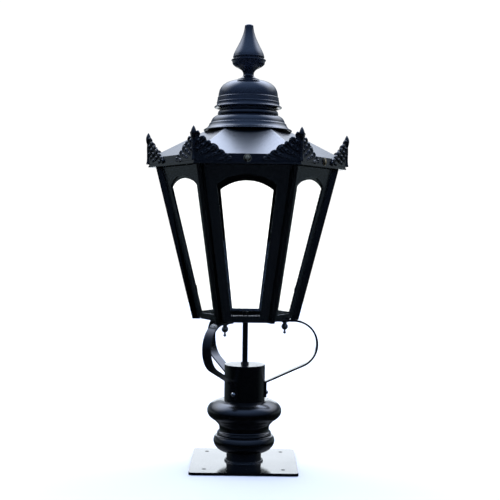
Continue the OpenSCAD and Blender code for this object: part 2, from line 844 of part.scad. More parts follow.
// A tube with a row of slots that let the warm air out under the dome
module vent_neck() {
    color([0.03, 0.03, 0.05]) difference() {
        translate([0, 0, neck_z]) ring(neck_r, neck_r - spun_t, neck_top_z - neck_z);
        for (i = [0:vent_slots - 1]) rotate([0, 0, 360 * (i + 0.5) / vent_slots]) translate([0, 0, slot_z])
            rotate([0, 90, 0]) translate([0, 0, neck_r - 5]) linear_extrude(height = 10)
            for (y = [-4, 4]) {
                translate([0, y]) circle(r = 2.2, $fn = 24);
                translate([-2.2, -4]) square([4.4, 8]);
            }
    }
}

// Outline of the skirt: a rolled rim, a flare, two steps and a bead under the dome
function skirt_outline() =
    let (w = skirt_r, b = rim_z, h = skirt_h, t = neck_r + spun_t + screw_gap) concat(
    arc([w - 1.5, b + 1.5], 1.5, -90, 70, 5),
    curve([w - 2.4, b + 3.6], [w - 8, b + 6], [w - 11, b + 10], [w - 12.4, b + h * 0.33], 6),
    [[w - 13.2, b + h * 0.35], [w - 15.4, b + h * 0.385]],
    curve([w - 15.6, b + h * 0.44], [w - 17.4, b + h * 0.58],
        [w - 23, b + h * 0.66], [w - 28, b + h * 0.7], 6),
    [[w - 31.4, b + h * 0.72]],
    arc([t + 2.6, b + h * 0.8], 2.6, -60, 70, 5),
    [[t + 1.6, b + h * 0.89], [t, b + h]]
);

module chimney_skirt() {
    outline = skirt_outline();
    lip = neck_r + screw_gap;
    color([0.05, 0.06, 0.09]) rotate_extrude() polygon(concat(outline, [[lip, skirt_top_z]],
        inner(outline, spun_t, rim_z + 1)));
}

// Outline of the dome: a rolled rim, two beads and a long curve to the top
function dome_outline() = let (w = dome_rim_r, b = dome_z, h = dome_h) concat(
    arc([w - 1.6, b + 1.6], 1.6, -90, 60, 5),
    [[w - 4.4, b + h * 0.085], [w - 5.2, b + h * 0.115], [w - 5.8, b + h * 0.19], [w - 7.1, b + h * 0.345],
        [w - 8.6, b + h * 0.385]],
    curve([w - 8.9, b + h * 0.4], [w - 8.8, b + h * 0.7], [w * 0.763, b + h * 0.94], [w * 0.319, b + h], 14)
);

module dome() {
    outline = dome_outline();
    hole = stud_r + screw_gap;
    color([0.05, 0.06, 0.09]) rotate_extrude() polygon(concat(outline, [[hole, dome_top_z],
        [hole, dome_top_z - spun_t]], inner(outline, spun_t, dome_z + 1)));
}

// A bar across the vent neck carries the stud, the dome and the lamp
module crossbar() {
    color([0.1, 0.1, 0.12]) translate([0, 0, bar_z]) difference() {
        translate([-neck_r, -bar_w / 2, 0]) cube([2 * neck_r, bar_w, bar_t]);
        translate([0, 0, -1]) cylinder(h = bar_t + 2, r = stud_r + screw_gap);
    }
}

module stud() {
    color([0.4, 0.4, 0.4]) translate([0, 0, stud_low_z]) cylinder(h = stud_top_z - stud_low_z, r = stud_r);
}

// Nuts below and above the crossbar, and one under the dome
module stud_nuts() {
    bore = stud_r + screw_gap / 2;
    color([0.4, 0.4, 0.4]) for (z = [bar_z - stud_nut_t, bar_z + bar_t, dome_top_z - spun_t - stud_nut_t])
        translate([0, 0, z]) hex_nut(stud_nut_r, bore, stud_nut_t);
}

// Outline of the finial: foot, neck, bowl, rim disc and the tall drop above it
function finial_outline() = let (w = finial_r, b = finial_z, h = finial_h, n = stud_r + 6.5) concat(
    [[w * 0.63, b], [w * 0.63, b + 1.6]],
    curve([w * 0.6, b + 2.4], [w * 0.44, b + 4], [n, b + h * 0.055], [n, b + h * 0.105], 6),
    curve([n, b + h * 0.13], [n + 2, b + h * 0.22], [w * 0.7, b + h * 0.2], [w * 0.91, b + h * 0.285], 9),
    [[w * 0.93, b + h * 0.33], [w * 0.96, b + h * 0.34]],
    arc([w - 1.1, b + h * 0.355], 1.1, -70, 80, 4),
    [[w * 0.87, b + h * 0.385]],
    arc([w * 0.87, b + h * 0.41], w * 0.03, -60, 60, 3),
    curve([w * 0.885, b + h * 0.43], [w * 0.815, b + h * 0.53],
        [w * 0.3, b + h * 0.74], [w * 0.25, b + h * 0.96], 16),
    curve([w * 0.25, b + h * 0.96], [w * 0.25, b + h * 0.985], [w * 0.16, b + h], [0, b + h], 5)
);

module finial() {
    bore = stud_r + running_fit;
    color([0.05, 0.06, 0.09]) rotate_extrude() polygon(concat([[bore, finial_z]], finial_outline(),
        [[0, stud_top_z + 1], [bore, stud_top_z + 1]]));
}

// Lamp

module lampholder() {
    r = holder_d / 2;
    bore = cap_r + running_fit;
    color([0.85, 0.83, 0.78]) rotate_extrude() polygon(concat(
        [[bore, holder_z], [r - 1.5, holder_z], [r, holder_z + 1.5], [r, holder_z + holder_l * 0.55]],
        curve([r, holder_z + holder_l * 0.6], [r, holder_z + holder_l * 0.85],
            [stud_r + 8, holder_top_z - 12],
            [stud_r + 5, holder_top_z], 6),
        [[stud_r + screw_gap, holder_top_z], [stud_r + screw_gap, stud_low_z - 1], [0, stud_low_z - 1],
            [0, lamp_cap_z + lamp_cap_h + 3], [bore, lamp_cap_z + lamp_cap_h + 3]]
    ));
}

module lamp_cap() {
    color([0.75, 0.62, 0.35]) translate([0, 0, lamp_cap_z]) rotate_extrude() polygon([
        [0, 0], [cap_r, 0], [cap_r, lamp_cap_h - 4], [cap_r * 0.55, lamp_cap_h - 1],
        [cap_r * 0.4, lamp_cap_h], [cap_r * 0.3, lamp_cap_h + 1.6], [0, lamp_cap_h + 1.6]
    ]);
}

module lamp_bulb() {
    r = bulb_d / 2;
    glass = 1;
    neck = cap_r - 0.6;
    c = [0, bulb_z + r];
    outline = concat(
        arc(c, r, -90, 38, 16),
        curve([r * cos(40), c[1] + r * sin(40)], [r * 0.62, c[1] + r],
            [neck, lamp_cap_z - 18], [neck, lamp_cap_z], 8)
    );
    color([0.95, 0.95, 0.9, 0.8]) rotate_extrude() polygon(concat(
        [for (p = outline) [max(p[0], 0), p[1]]],
        reversed([for (p = outline) [max(p[0] - glass, 0), p[1] + (p[1] < c[1] ? glass : 0)]])
    ));
}

base_plate();
post_tube();
pedestal_foot();
pedestal_bell();
casting_grubs();
frog_collar();
guide_sleeves();
collar_cap();
leg_right();
leg_rear();
leg_front();
leg_screws();
cable_tube();
tube_nuts();
floor_plate();
floor_bolts();
drop_nuts();
bottom_frame();
for (k = [0:SIDES - 1]) {
    corner_rib(k);
    side_panel(k);
    pane(k);
    crown(k);
}
pane_clips();
top_frame();
fascia();
fascia_screws();
fascia_nuts();
crown_nuts();
roof();
chimney_ring();
vent_neck();
chimney_skirt();
crossbar();
stud();
stud_nuts();
dome();
finial();
lampholder();
lamp_cap();
lamp_bulb();
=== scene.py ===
import math

import bpy
from mathutils import Matrix, Vector


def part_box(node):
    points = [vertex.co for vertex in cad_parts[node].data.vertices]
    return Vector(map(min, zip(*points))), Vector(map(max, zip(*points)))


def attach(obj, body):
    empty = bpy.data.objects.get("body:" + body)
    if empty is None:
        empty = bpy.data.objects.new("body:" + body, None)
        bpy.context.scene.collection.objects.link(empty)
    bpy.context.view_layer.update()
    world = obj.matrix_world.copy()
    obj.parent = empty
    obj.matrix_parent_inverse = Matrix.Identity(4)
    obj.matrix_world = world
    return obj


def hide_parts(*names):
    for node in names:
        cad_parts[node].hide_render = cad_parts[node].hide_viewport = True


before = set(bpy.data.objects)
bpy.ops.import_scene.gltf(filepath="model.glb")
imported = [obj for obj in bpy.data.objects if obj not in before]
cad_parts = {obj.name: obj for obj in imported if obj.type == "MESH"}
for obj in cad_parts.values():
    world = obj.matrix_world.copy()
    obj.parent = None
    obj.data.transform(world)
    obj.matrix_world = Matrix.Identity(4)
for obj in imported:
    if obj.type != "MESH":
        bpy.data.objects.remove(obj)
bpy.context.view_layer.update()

# Base plate
# A square of steel plate, sawn and drilled, with rounded corners and four holes for the pillar's
# anchors. It is powder-coated satin black and lies flat on the pillar's cap.

mm = 0.001
plate_low, plate_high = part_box("base_plate")
plate_corner = 8 * mm
plate_edge_r = 0.7 * mm
bolt_hole_d = 9 * mm
bolt_spacing = 167 * mm
cable_hole_d = 50 * mm


def socket(group, way, kind, name, value=None):
    """One named input or output of a shader node group."""
    made = group.interface.new_socket(name=name, in_out=way, socket_type=kind)
    if value is not None:
        made.default_value = value


coat_skin = bpy.data.node_groups.new("coat_skin", "ShaderNodeTree")
socket(coat_skin, "INPUT", "NodeSocketColor", "Coat", (0.005, 0.005, 0.007, 1))
socket(coat_skin, "INPUT", "NodeSocketColor", "Dust Colour", (0.20, 0.20, 0.19, 1))
socket(coat_skin, "INPUT", "NodeSocketFloat", "Shine Loss", 0.25)
socket(coat_skin, "INPUT", "NodeSocketFloat", "Grain Size", 900)
socket(coat_skin, "INPUT", "NodeSocketFloat", "Dust", 0.1)
socket(coat_skin, "INPUT", "NodeSocketColor", "Worn Colour", (0.035, 0.035, 0.036, 1))
socket(coat_skin, "INPUT", "NodeSocketFloat", "Edge Wear", 0.3)
socket(coat_skin, "OUTPUT", "NodeSocketColor", "Colour")
socket(coat_skin, "OUTPUT", "NodeSocketFloat", "Roughness")
socket(coat_skin, "OUTPUT", "NodeSocketFloat", "Height")


def add_node(tree, kind, **settings):
    """A shader node with its settings. Inputs are given by name in the dict called values."""
    node = tree.nodes.new(kind)
    for name, value in settings.pop("values", {}).items():
        node.inputs[name].default_value = value
    for name, value in settings.items():
        setattr(node, name, value)
    return node


def build_coat_skin():
    """Powder coat: a fine orange peel, slow clouds of colour and shine, specks of dust on what
    faces up, and edges that handling has rubbed thin here and there."""
    tree = coat_skin
    link = tree.links.new
    given = add_node(tree, "NodeGroupInput")
    place = add_node(tree, "ShaderNodeTexCoord")
    peel = add_node(tree, "ShaderNodeTexNoise", values={"Detail": 2.0, "Roughness": 0.5})
    clouds = add_node(tree, "ShaderNodeTexNoise", values={"Scale": 14.0, "Detail": 4.0})
    specks = add_node(tree, "ShaderNodeTexNoise", values={"Scale": 420.0, "Detail": 3.0})
    link(place.outputs["Object"], peel.inputs["Vector"])
    link(place.outputs["Object"], clouds.inputs["Vector"])
    link(place.outputs["Object"], specks.inputs["Vector"])
    link(given.outputs["Grain Size"], peel.inputs["Scale"])
    # dust settles in patches of specks, where the surface faces up
    facing = add_node(tree, "ShaderNodeNewGeometry")
    upward = add_node(tree, "ShaderNodeSeparateXYZ")
    link(facing.outputs["Normal"], upward.inputs["Vector"])
    lies_up = add_node(tree, "ShaderNodeMapRange", values={"From Min": 0.2, "From Max": 1.0})
    link(upward.outputs["Z"], lies_up.inputs["Value"])
    patches = add_node(tree, "ShaderNodeMapRange", values={"From Min": 0.42, "From Max": 0.68})
    link(clouds.outputs["Fac"], patches.inputs["Value"])
    settled = add_node(tree, "ShaderNodeMath", operation="MULTIPLY")
    link(lies_up.outputs["Result"], settled.inputs[0])
    link(patches.outputs["Result"], settled.inputs[1])
    speckled = add_node(tree, "ShaderNodeMath", operation="MULTIPLY")
    link(settled.outputs["Value"], speckled.inputs[0])
    link(specks.outputs["Fac"], speckled.inputs[1])
    dusted = add_node(tree, "ShaderNodeMath", operation="MULTIPLY")
    link(speckled.outputs["Value"], dusted.inputs[0])
    link(given.outputs["Dust"], dusted.inputs[1])
    tone = add_node(tree, "ShaderNodeMapRange", values={"To Min": 0.8, "To Max": 1.25})
    link(clouds.outputs["Fac"], tone.inputs["Value"])
    toned = add_node(tree, "ShaderNodeVectorMath", operation="SCALE")
    link(given.outputs["Coat"], toned.inputs[0])
    link(tone.outputs["Result"], toned.inputs["Scale"])
    surface = add_node(tree, "ShaderNodeMix", data_type="RGBA")
    link(dusted.outputs["Value"], surface.inputs["Factor"])
    link(toned.outputs["Vector"], surface.inputs["A"])
    link(given.outputs["Dust Colour"], surface.inputs["B"])
    # wear shows in specks, where the surface turns within a millimetre
    rounded = add_node(tree, "ShaderNodeBevel", samples=4, values={"Radius": 1.0 * mm})
    turning = add_node(tree, "ShaderNodeVectorMath", operation="DOT_PRODUCT")
    link(rounded.outputs["Normal"], turning.inputs[0])
    link(facing.outputs["Normal"], turning.inputs[1])
    edge = add_node(tree, "ShaderNodeMapRange",
                    values={"From Min": 0.985, "From Max": 0.88, "To Min": 0.0, "To Max": 1.0})
    link(turning.outputs["Value"], edge.inputs["Value"])
    rubbed = add_node(tree, "ShaderNodeMapRange", values={"From Min": 0.45, "From Max": 0.6})
    link(specks.outputs["Fac"], rubbed.inputs["Value"])
    worn_edge = add_node(tree, "ShaderNodeMath", operation="MULTIPLY")
    link(edge.outputs["Result"], worn_edge.inputs[0])
    link(rubbed.outputs["Result"], worn_edge.inputs[1])
    worn = add_node(tree, "ShaderNodeMath", operation="MULTIPLY")
    link(worn_edge.outputs["Value"], worn.inputs[0])
    link(given.outputs["Edge Wear"], worn.inputs[1])
    rubbed_surface = add_node(tree, "ShaderNodeMix", data_type="RGBA")
    link(worn.outputs["Value"], rubbed_surface.inputs["Factor"])
    link(surface.outputs["Result"], rubbed_surface.inputs["A"])
    link(given.outputs["Worn Colour"], rubbed_surface.inputs["B"])
    # the shine changes with the clouds and is lost under dust
    dull = add_node(tree, "ShaderNodeMapRange", values={"To Min": -0.03, "To Max": 0.05})
    link(clouds.outputs["Fac"], dull.inputs["Value"])
    rough = add_node(tree, "ShaderNodeMath", operation="ADD")
    link(given.outputs["Shine Loss"], rough.inputs[0])
    link(dull.outputs["Result"], rough.inputs[1])
    rougher = add_node(tree, "ShaderNodeMath", operation="MULTIPLY_ADD", use_clamp=True)
    link(dusted.outputs["Value"], rougher.inputs[0])
    rougher.inputs[1].default_value = 0.5
    link(rough.outputs["Value"], rougher.inputs[2])
    made = add_node(tree, "NodeGroupOutput")
    link(rubbed_surface.outputs["Result"], made.inputs["Colour"])
    link(rougher.outputs["Value"], made.inputs["Roughness"])
    link(peel.outputs["Fac"], made.inputs["Height"])


build_coat_skin()


def coated(name, coat, shine_loss, grain_size=600, grain_depth=0.03, dust=0.05, wear=0.3):
    """A coated or painted finish from coat_skin: so many grains per metre, their depth in mm."""
    finish = bpy.data.materials.new(name)
    finish.use_nodes = True
    tree = finish.node_tree
    shader = tree.nodes["Principled BSDF"]
    skin = add_node(tree, "ShaderNodeGroup", node_tree=coat_skin)
    skin.inputs["Coat"].default_value = (*coat, 1)
    skin.inputs["Shine Loss"].default_value = shine_loss
    skin.inputs["Grain Size"].default_value = grain_size
    skin.inputs["Dust"].default_value = dust
    skin.inputs["Edge Wear"].default_value = wear
    relief = add_node(tree, "ShaderNodeBump",
                      values={"Strength": 1.0, "Distance": grain_depth * mm})
    tree.links.new(skin.outputs["Height"], relief.inputs["Height"])
    tree.links.new(skin.outputs["Colour"], shader.inputs["Base Color"])
    tree.links.new(skin.outputs["Roughness"], shader.inputs["Roughness"])
    tree.links.new(relief.outputs["Normal"], shader.inputs["Normal"])
    return finish


def only(piece):
    """Selects this piece and nothing else, and makes it the active one."""
    bpy.ops.object.select_all(action="DESELECT")
    piece.select_set(True)
    bpy.context.view_layer.objects.active = piece


def cut_away(piece, tool):
    """Takes the tool's shape out of the piece, and the tool out of the scene."""
    only(piece)
    bpy.ops.object.modifier_add(type="BOOLEAN")
    cut = piece.modifiers[-1]
    cut.operation, cut.object, cut.solver = "DIFFERENCE", tool, "EXACT"
    bpy.ops.object.modifier_apply(modifier=cut.name)
    bpy.data.objects.remove(tool)


def ease_edges(piece, width, rounds=2, sharper_than=35):
    """Rounds every edge that is sharper than the angle, as sanding and the coat leave it."""
    only(piece)
    bpy.ops.object.modifier_add(type="BEVEL")
    edge = piece.modifiers[-1]
    edge.width, edge.segments = width, rounds
    edge.limit_method, edge.angle_limit = "ANGLE", math.radians(sharper_than)
    bpy.ops.object.modifier_apply(modifier=edge.name)


def finish_piece(piece, finish, body, slot_name, *nodes, smooth=35):
    """Puts the piece's place in its mesh, smooths its round parts and keeps its flat ones flat,
    gives it its finish, and ties it to the frame."""
    only(piece)
    bpy.ops.object.transform_apply(location=True, rotation=True, scale=True)
    bpy.ops.object.shade_smooth_by_angle(angle=math.radians(smooth))
    bpy.ops.object.modifier_add(type="WEIGHTED_NORMAL")
    piece.modifiers[-1].keep_sharp = True
    bpy.ops.object.modifier_apply(modifier=piece.modifiers[-1].name)
    piece.data.materials.clear()
    piece.data.materials.append(finish)
    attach(piece, body)
    if nodes:
        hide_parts(*nodes)


bpy.ops.object.select_all(action="DESELECT")
bpy.ops.mesh.primitive_cube_add(
    size=1, location=(plate_low + plate_high) / 2, scale=plate_high - plate_low)
plate = bpy.context.object
plate.name = "plate"
bpy.ops.object.transform_apply(location=True, rotation=True, scale=True)
bpy.ops.object.mode_set(mode="EDIT")
bpy.ops.mesh.select_mode(type="EDGE")
bpy.ops.mesh.select_all(action="DESELECT")
bpy.ops.object.mode_set(mode="OBJECT")
for edge in plate.data.edges:
    one_end, other_end = (plate.data.vertices[i].co for i in edge.vertices)
    edge.select = abs(one_end.z - other_end.z) > plate_high.z / 2
bpy.ops.object.mode_set(mode="EDIT")
bpy.ops.mesh.bevel(offset=plate_corner, segments=8)
bpy.ops.object.mode_set(mode="OBJECT")
bolt_places = (-bolt_spacing / 2, bolt_spacing / 2)
holes = [(x, y, bolt_hole_d) for x in bolt_places for y in bolt_places]
for x, y, diameter in holes + [(0, 0, cable_hole_d)]:
    bpy.ops.mesh.primitive_cylinder_add(
        vertices=48, radius=diameter / 2, depth=4 * plate_high.z, location=(x, y, plate_high.z / 2))
    cut_away(plate, bpy.context.object)
ease_edges(plate, plate_edge_r)
plate_coat = coated(
    "plate_coat", coat=(0.0016, 0.0018, 0.0024), shine_loss=0.12, grain_depth=0.015, dust=0.02)
finish_piece(plate, plate_coat, "base", "black_coat", "base_plate")

# Post tube
# A length of 76 mm steel tube, welded to the plate with a fillet all round. The bead shows its
# ripples under the black coat.

post_r = 38.05 * mm
weld_leg = 4.5 * mm
bead_r = weld_leg * 0.5
bead_out = weld_leg * 0.42
bead_up = weld_leg * 0.36
ripple_length = 3.2 * mm
ripple_height = 1.1 * mm


def merged_copy(node, piece_name, whole_faces=True):
    """A copy of a CAD node with its loose triangles joined up, ready for its edges to be eased.
    Flat faces are made whole, unless that would open its corners."""
    piece = bpy.data.objects.new(piece_name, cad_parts[node].data.copy())
    bpy.context.scene.collection.objects.link(piece)
    only(piece)
    bpy.ops.object.mode_set(mode="EDIT")
    bpy.ops.mesh.select_all(action="SELECT")
    bpy.ops.mesh.remove_doubles(threshold=0.002 * mm)
    if whole_faces:
        bpy.ops.mesh.dissolve_limited(angle_limit=math.radians(0.3))
    bpy.ops.object.mode_set(mode="OBJECT")
    return piece


tube = merged_copy("post_tube", "post")
post_coat = coated("post_coat", coat=(0.0009, 0.0009, 0.0012), shine_loss=0.24)
finish_piece(tube, post_coat, "base", "black_coat", "post_tube")

bpy.ops.object.select_all(action="DESELECT")
bpy.ops.mesh.primitive_torus_add(
    major_radius=post_r + bead_out, minor_radius=bead_r, major_segments=240, minor_segments=12,
    location=(0, 0, plate_high.z + bead_up))
bead = bpy.context.object
bead.name = "weld_bead"
ripple = bpy.data.textures.new("weld_ripple", type="CLOUDS")
ripple.noise_scale = ripple_length
bpy.ops.object.modifier_add(type="DISPLACE")
bead.modifiers[-1].texture = ripple
bead.modifiers[-1].strength = ripple_height
bpy.ops.object.modifier_apply(modifier=bead.modifiers[-1].name)
finish_piece(bead, post_coat, "base", "black_coat", smooth=60)

# Pedestal
# Two hollow iron castings, turned outside and slid over the post: a full roll with a ledge, and
# above it a bead, a waist, a cove and a wide upper roll. Grub screws at the back hold them.

foot_low, foot_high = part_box("pedestal_foot")
bell_low, bell_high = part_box("pedestal_bell")
slide_gap = 0.2 * mm
bore_r = (post_r + slide_gap) / mm


def bow(start, leave, arrive, end, steps):
    """Points of a smooth stretch of an outline between two points, with two handles."""
    points = []
    for i in range(steps + 1):
        t = i / steps
        s = 1 - t
        weights = (s ** 3, 3 * s * s * t, 3 * s * t * t, t ** 3)
        points.append(tuple(sum(w * p[axis] for w, p in zip(weights, (start, leave, arrive, end)))
                            for axis in (0, 1)))
    return points


def turned(piece_name, outline, around=128):
    """A round piece: a ring that is drawn on through the outline's radii and heights."""
    bpy.ops.object.select_all(action="DESELECT")
    radius, height = outline[0]
    bpy.ops.mesh.primitive_circle_add(vertices=around, radius=radius, location=(0, 0, height))
    piece = bpy.context.object
    piece.name = piece_name
    bpy.ops.object.transform_apply(location=True, rotation=True, scale=True)
    bpy.ops.object.mode_set(mode="EDIT")
    bpy.ops.mesh.select_all(action="SELECT")
    for next_radius, next_height in outline[1:]:
        bpy.ops.mesh.extrude_region_move(
            TRANSFORM_OT_translate={"value": (0, 0, next_height - height)})
        grow = next_radius / radius
        bpy.ops.transform.resize(value=(grow, grow, 1), center_override=(0, 0, next_height))
        radius, height = next_radius, next_height
    bpy.ops.mesh.select_all(action="SELECT")
    bpy.ops.mesh.remove_doubles(threshold=0.01 * mm)
    bpy.ops.mesh.normals_make_consistent(inside=False)
    bpy.ops.object.mode_set(mode="OBJECT")
    return piece


def raised(points, low):
    """Outline points in millimetres above a foot, as radii and heights of the frame."""
    return [(radius * mm, low + height * mm) for radius, height in points]


# the outlines' radii and heights are in mm, like the castings' sizes here
roll_r = foot_high.x / mm
foot_h = (foot_high.z - foot_low.z) / mm
ledge_r = roll_r - 8
foot_outline = (
    # under the roll, out to its widest
    bow((39, 0), (48, 0), (roll_r - 1, 7), (roll_r, 24.5), 18)
    # back in over the roll
    + bow((roll_r, 24.7), (roll_r, 28.5), (roll_r - 2, 33), (roll_r - 3.2, 34.6), 8)
    # the step down to the ledge
    + bow((roll_r - 3.6, 35.4), (ledge_r + 2, 36), (ledge_r + 0.6, 36.2), (ledge_r, 37), 4)
    # the ledge's bead, up to the parting line
    + bow((ledge_r + 0.1, 38), (ledge_r + 0.6, 40), (ledge_r + 0.3, 41.2),
          (ledge_r - 1, foot_h), 5))
foot = turned("pedestal_lower", raised(
    [(bore_r, 0)] + foot_outline + [(bore_r, foot_h), (bore_r, 0)], foot_low.z))
casting_coat = coated("casting_coat", coat=(0.0009, 0.0010, 0.0012), shine_loss=0.2,
                      grain_size=420, grain_depth=0.05)
finish_piece(foot, casting_coat, "base", "black_casting", "pedestal_foot", smooth=28)

waist_r = 54.5
wide_r = bell_high.x / mm
bell_h = (bell_high.z - bell_low.z) / mm
wide_h = bell_h - 23.7
cove_h = wide_h - 21.5
bell_top_r = 46.5
bell_outline = (
    # the bead above the parting line
    bow((waist_r + 3.2, 0), (waist_r + 4.6, 0.3), (waist_r + 4.4, 1.6), (waist_r + 3.6, 2), 5)
    # in to the waist
    + bow((waist_r + 3, 2.6), (waist_r + 1, 3.4), (waist_r + 0.2, 4.6), (waist_r, 6), 4)
    # the waist and the cove
    + bow((waist_r, cove_h - 17), (waist_r, cove_h - 8), (waist_r + 6, cove_h - 5),
          (waist_r + 10, cove_h), 14)
    # under the upper roll, out to its widest
    + bow((waist_r + 10.4, cove_h + 0.5), (waist_r + 15.5, cove_h + 4), (wide_r, cove_h + 9),
          (wide_r, wide_h), 18)
    # over the roll and in to the collar
    + bow((wide_r, wide_h + 0.6), (wide_r, wide_h + 13), (wide_r - 16, bell_h),
          (bell_top_r, bell_h), 18))
bell = turned("pedestal_upper", raised(
    [(bore_r, 0)] + bell_outline + [(bore_r, bell_h), (bore_r, 0)], bell_low.z))
finish_piece(bell, casting_coat, "base", "black_casting", "pedestal_bell", smooth=28)

turning_depth = 0.02 * mm
bare_skin = bpy.data.node_groups.new("bare_skin", "ShaderNodeTree")
socket(bare_skin, "INPUT", "NodeSocketColor", "Metal", (0.5, 0.5, 0.5, 1))
socket(bare_skin, "INPUT", "NodeSocketColor", "Tarnish", (0.12, 0.1, 0.08, 1))
socket(bare_skin, "INPUT", "NodeSocketFloat", "Shine Loss", 0.3)
socket(bare_skin, "INPUT", "NodeSocketFloat", "Tarnish Amount", 0.5)
socket(bare_skin, "OUTPUT", "NodeSocketColor", "Colour")
socket(bare_skin, "OUTPUT", "NodeSocketFloat", "Roughness")
socket(bare_skin, "OUTPUT", "NodeSocketFloat", "Height")


def build_bare_skin():
    """Bare or plated metal: fine turning marks, and tarnish that lies in patches."""
    tree = bare_skin
    link = tree.links.new
    given = add_node(tree, "NodeGroupInput")
    place = add_node(tree, "ShaderNodeTexCoord")
    marks = add_node(tree, "ShaderNodeTexNoise", values={"Scale": 1600.0, "Detail": 2.0})
    patches = add_node(tree, "ShaderNodeTexNoise", values={"Scale": 160.0, "Detail": 4.0})
    link(place.outputs["Object"], marks.inputs["Vector"])
    link(place.outputs["Object"], patches.inputs["Vector"])
    where = add_node(tree, "ShaderNodeMapRange", values={"From Min": 0.4, "From Max": 0.65})
    link(patches.outputs["Fac"], where.inputs["Value"])
    amount = add_node(tree, "ShaderNodeMath", operation="MULTIPLY")
    link(where.outputs["Result"], amount.inputs[0])
    link(given.outputs["Tarnish Amount"], amount.inputs[1])
    surface = add_node(tree, "ShaderNodeMix", data_type="RGBA")
    link(amount.outputs["Value"], surface.inputs["Factor"])
    link(given.outputs["Metal"], surface.inputs["A"])
    link(given.outputs["Tarnish"], surface.inputs["B"])
    rough = add_node(tree, "ShaderNodeMath", operation="MULTIPLY_ADD", use_clamp=True)
    link(amount.outputs["Value"], rough.inputs[0])
    rough.inputs[1].default_value = 0.3
    link(given.outputs["Shine Loss"], rough.inputs[2])
    made = add_node(tree, "NodeGroupOutput")
    link(surface.outputs["Result"], made.inputs["Colour"])
    link(rough.outputs["Value"], made.inputs["Roughness"])
    link(marks.outputs["Fac"], made.inputs["Height"])


build_bare_skin()


def bare(name, metal, tarnish, shine_loss, metallic=1.0):
    """A bare or plated metal finish from bare_skin."""
    finish = bpy.data.materials.new(name)
    finish.use_nodes = True
    tree = finish.node_tree
    shader = tree.nodes["Principled BSDF"]
    shader.inputs["Metallic"].default_value = metallic
    skin = add_node(tree, "ShaderNodeGroup", node_tree=bare_skin)
    skin.inputs["Metal"].default_value = (*metal, 1)
    skin.inputs["Tarnish"].default_value = (*tarnish, 1)
    skin.inputs["Shine Loss"].default_value = shine_loss
    relief = add_node(tree, "ShaderNodeBump",
                      values={"Strength": 1.0, "Distance": turning_depth})
    tree.links.new(skin.outputs["Height"], relief.inputs["Height"])
    tree.links.new(skin.outputs["Colour"], shader.inputs["Base Color"])
    tree.links.new(skin.outputs["Roughness"], shader.inputs["Roughness"])
    tree.links.new(relief.outputs["Normal"], shader.inputs["Normal"])
    return finish


dark_steel = bare("dark_steel", metal=(0.09, 0.09, 0.09), tarnish=(0.05, 0.03, 0.02),
                  shine_loss=0.35)
grub_edge_r = 0.2 * mm
grubs = merged_copy("casting_grubs", "grub_screws")
ease_edges(grubs, grub_edge_r)
finish_piece(grubs, dark_steel, "base", "dark_screws", "casting_grubs")

# Collar
# A length of 89 mm tube with a disc welded into its top. It slips over the post on two plastic
# sleeves and turns there until the leg screws are tightened.

cap_edge_r = 0.9 * mm
collar_coat = coated("collar_coat", coat=(0.0009, 0.0010, 0.0012), shine_loss=0.2)
collar = merged_copy("frog_collar", "collar")
finish_piece(collar, collar_coat, "head", "black_coat", "frog_collar")
cap = merged_copy("collar_cap", "collar_top")
ease_edges(cap, cap_edge_r, rounds=3)
finish_piece(cap, collar_coat, "head", "black_coat", "collar_cap")

# Guide sleeves
# Two short rings of white nylon, pressed into the collar, so that it turns on the post with no
# play. They are hidden between the tubes.

sleeve_edge_r = 0.15 * mm
nylon = coated("nylon", coat=(0.62, 0.6, 0.53), shine_loss=0.45, grain_size=1500, dust=0.0,
               wear=0.0)
sleeves = merged_copy("guide_sleeves", "nylon_sleeves")
ease_edges(sleeves, sleeve_edge_r, rounds=1)
finish_piece(sleeves, nylon, "head", "nylon", "guide_sleeves")

# Legs
# Three straps of 20 by 4 mm flat steel, bent on a former: flat under the lantern's floor, round a
# wide bow, and down to a foot that is rolled to the collar's curve.

strap_edge_r = 0.8 * mm
leg_coat = coated("leg_coat", coat=(0.0016, 0.0018, 0.0026), shine_loss=0.2)
leg_shader = leg_coat.node_tree.nodes["Principled BSDF"]
leg_shader.inputs["Specular IOR Level"].default_value = 0.3
for node in ("leg_right", "leg_rear", "leg_front"):
    leg = merged_copy(node, node + "_strap")
    ease_edges(leg, strap_edge_r, rounds=3)
    finish_piece(leg, leg_coat, "head", "black_coat", node, smooth=30)

# Leg screws
# Round-head screws of plated steel, one through the foot of each leg. Their ends grip the post.

screw_plate = bare("screw_plate", metal=(0.62, 0.62, 0.6), tarnish=(0.3, 0.27, 0.2),
                   shine_loss=0.25)
leg_screws = merged_copy("leg_screws", "leg_screw_heads")
finish_piece(leg_screws, screw_plate, "head", "bright_screws", "leg_screws", smooth=40)

# Cable tube
# A thin steel tube that brings the supply cable from the collar's cap up to the lantern's floor,
# held by hexagonal nuts at both ends.

tube_nut_edge_r = 0.35 * mm
tube_coat = coated("tube_coat", coat=(0.0009, 0.0009, 0.0010), shine_loss=0.3)
cable_tube = merged_copy("cable_tube", "cable_conduit")
finish_piece(cable_tube, tube_coat, "head", "black_coat", "cable_tube")
tube_nuts = merged_copy("tube_nuts", "conduit_nuts")
ease_edges(tube_nuts, tube_nut_edge_r)
finish_piece(tube_nuts, dark_steel, "head", "dark_screws", "tube_nuts")

# Lantern floor
# A six-sided steel plate under the body, with a dull black coat that mirrors next to nothing.
# Three plated bolts come down through it and the legs.

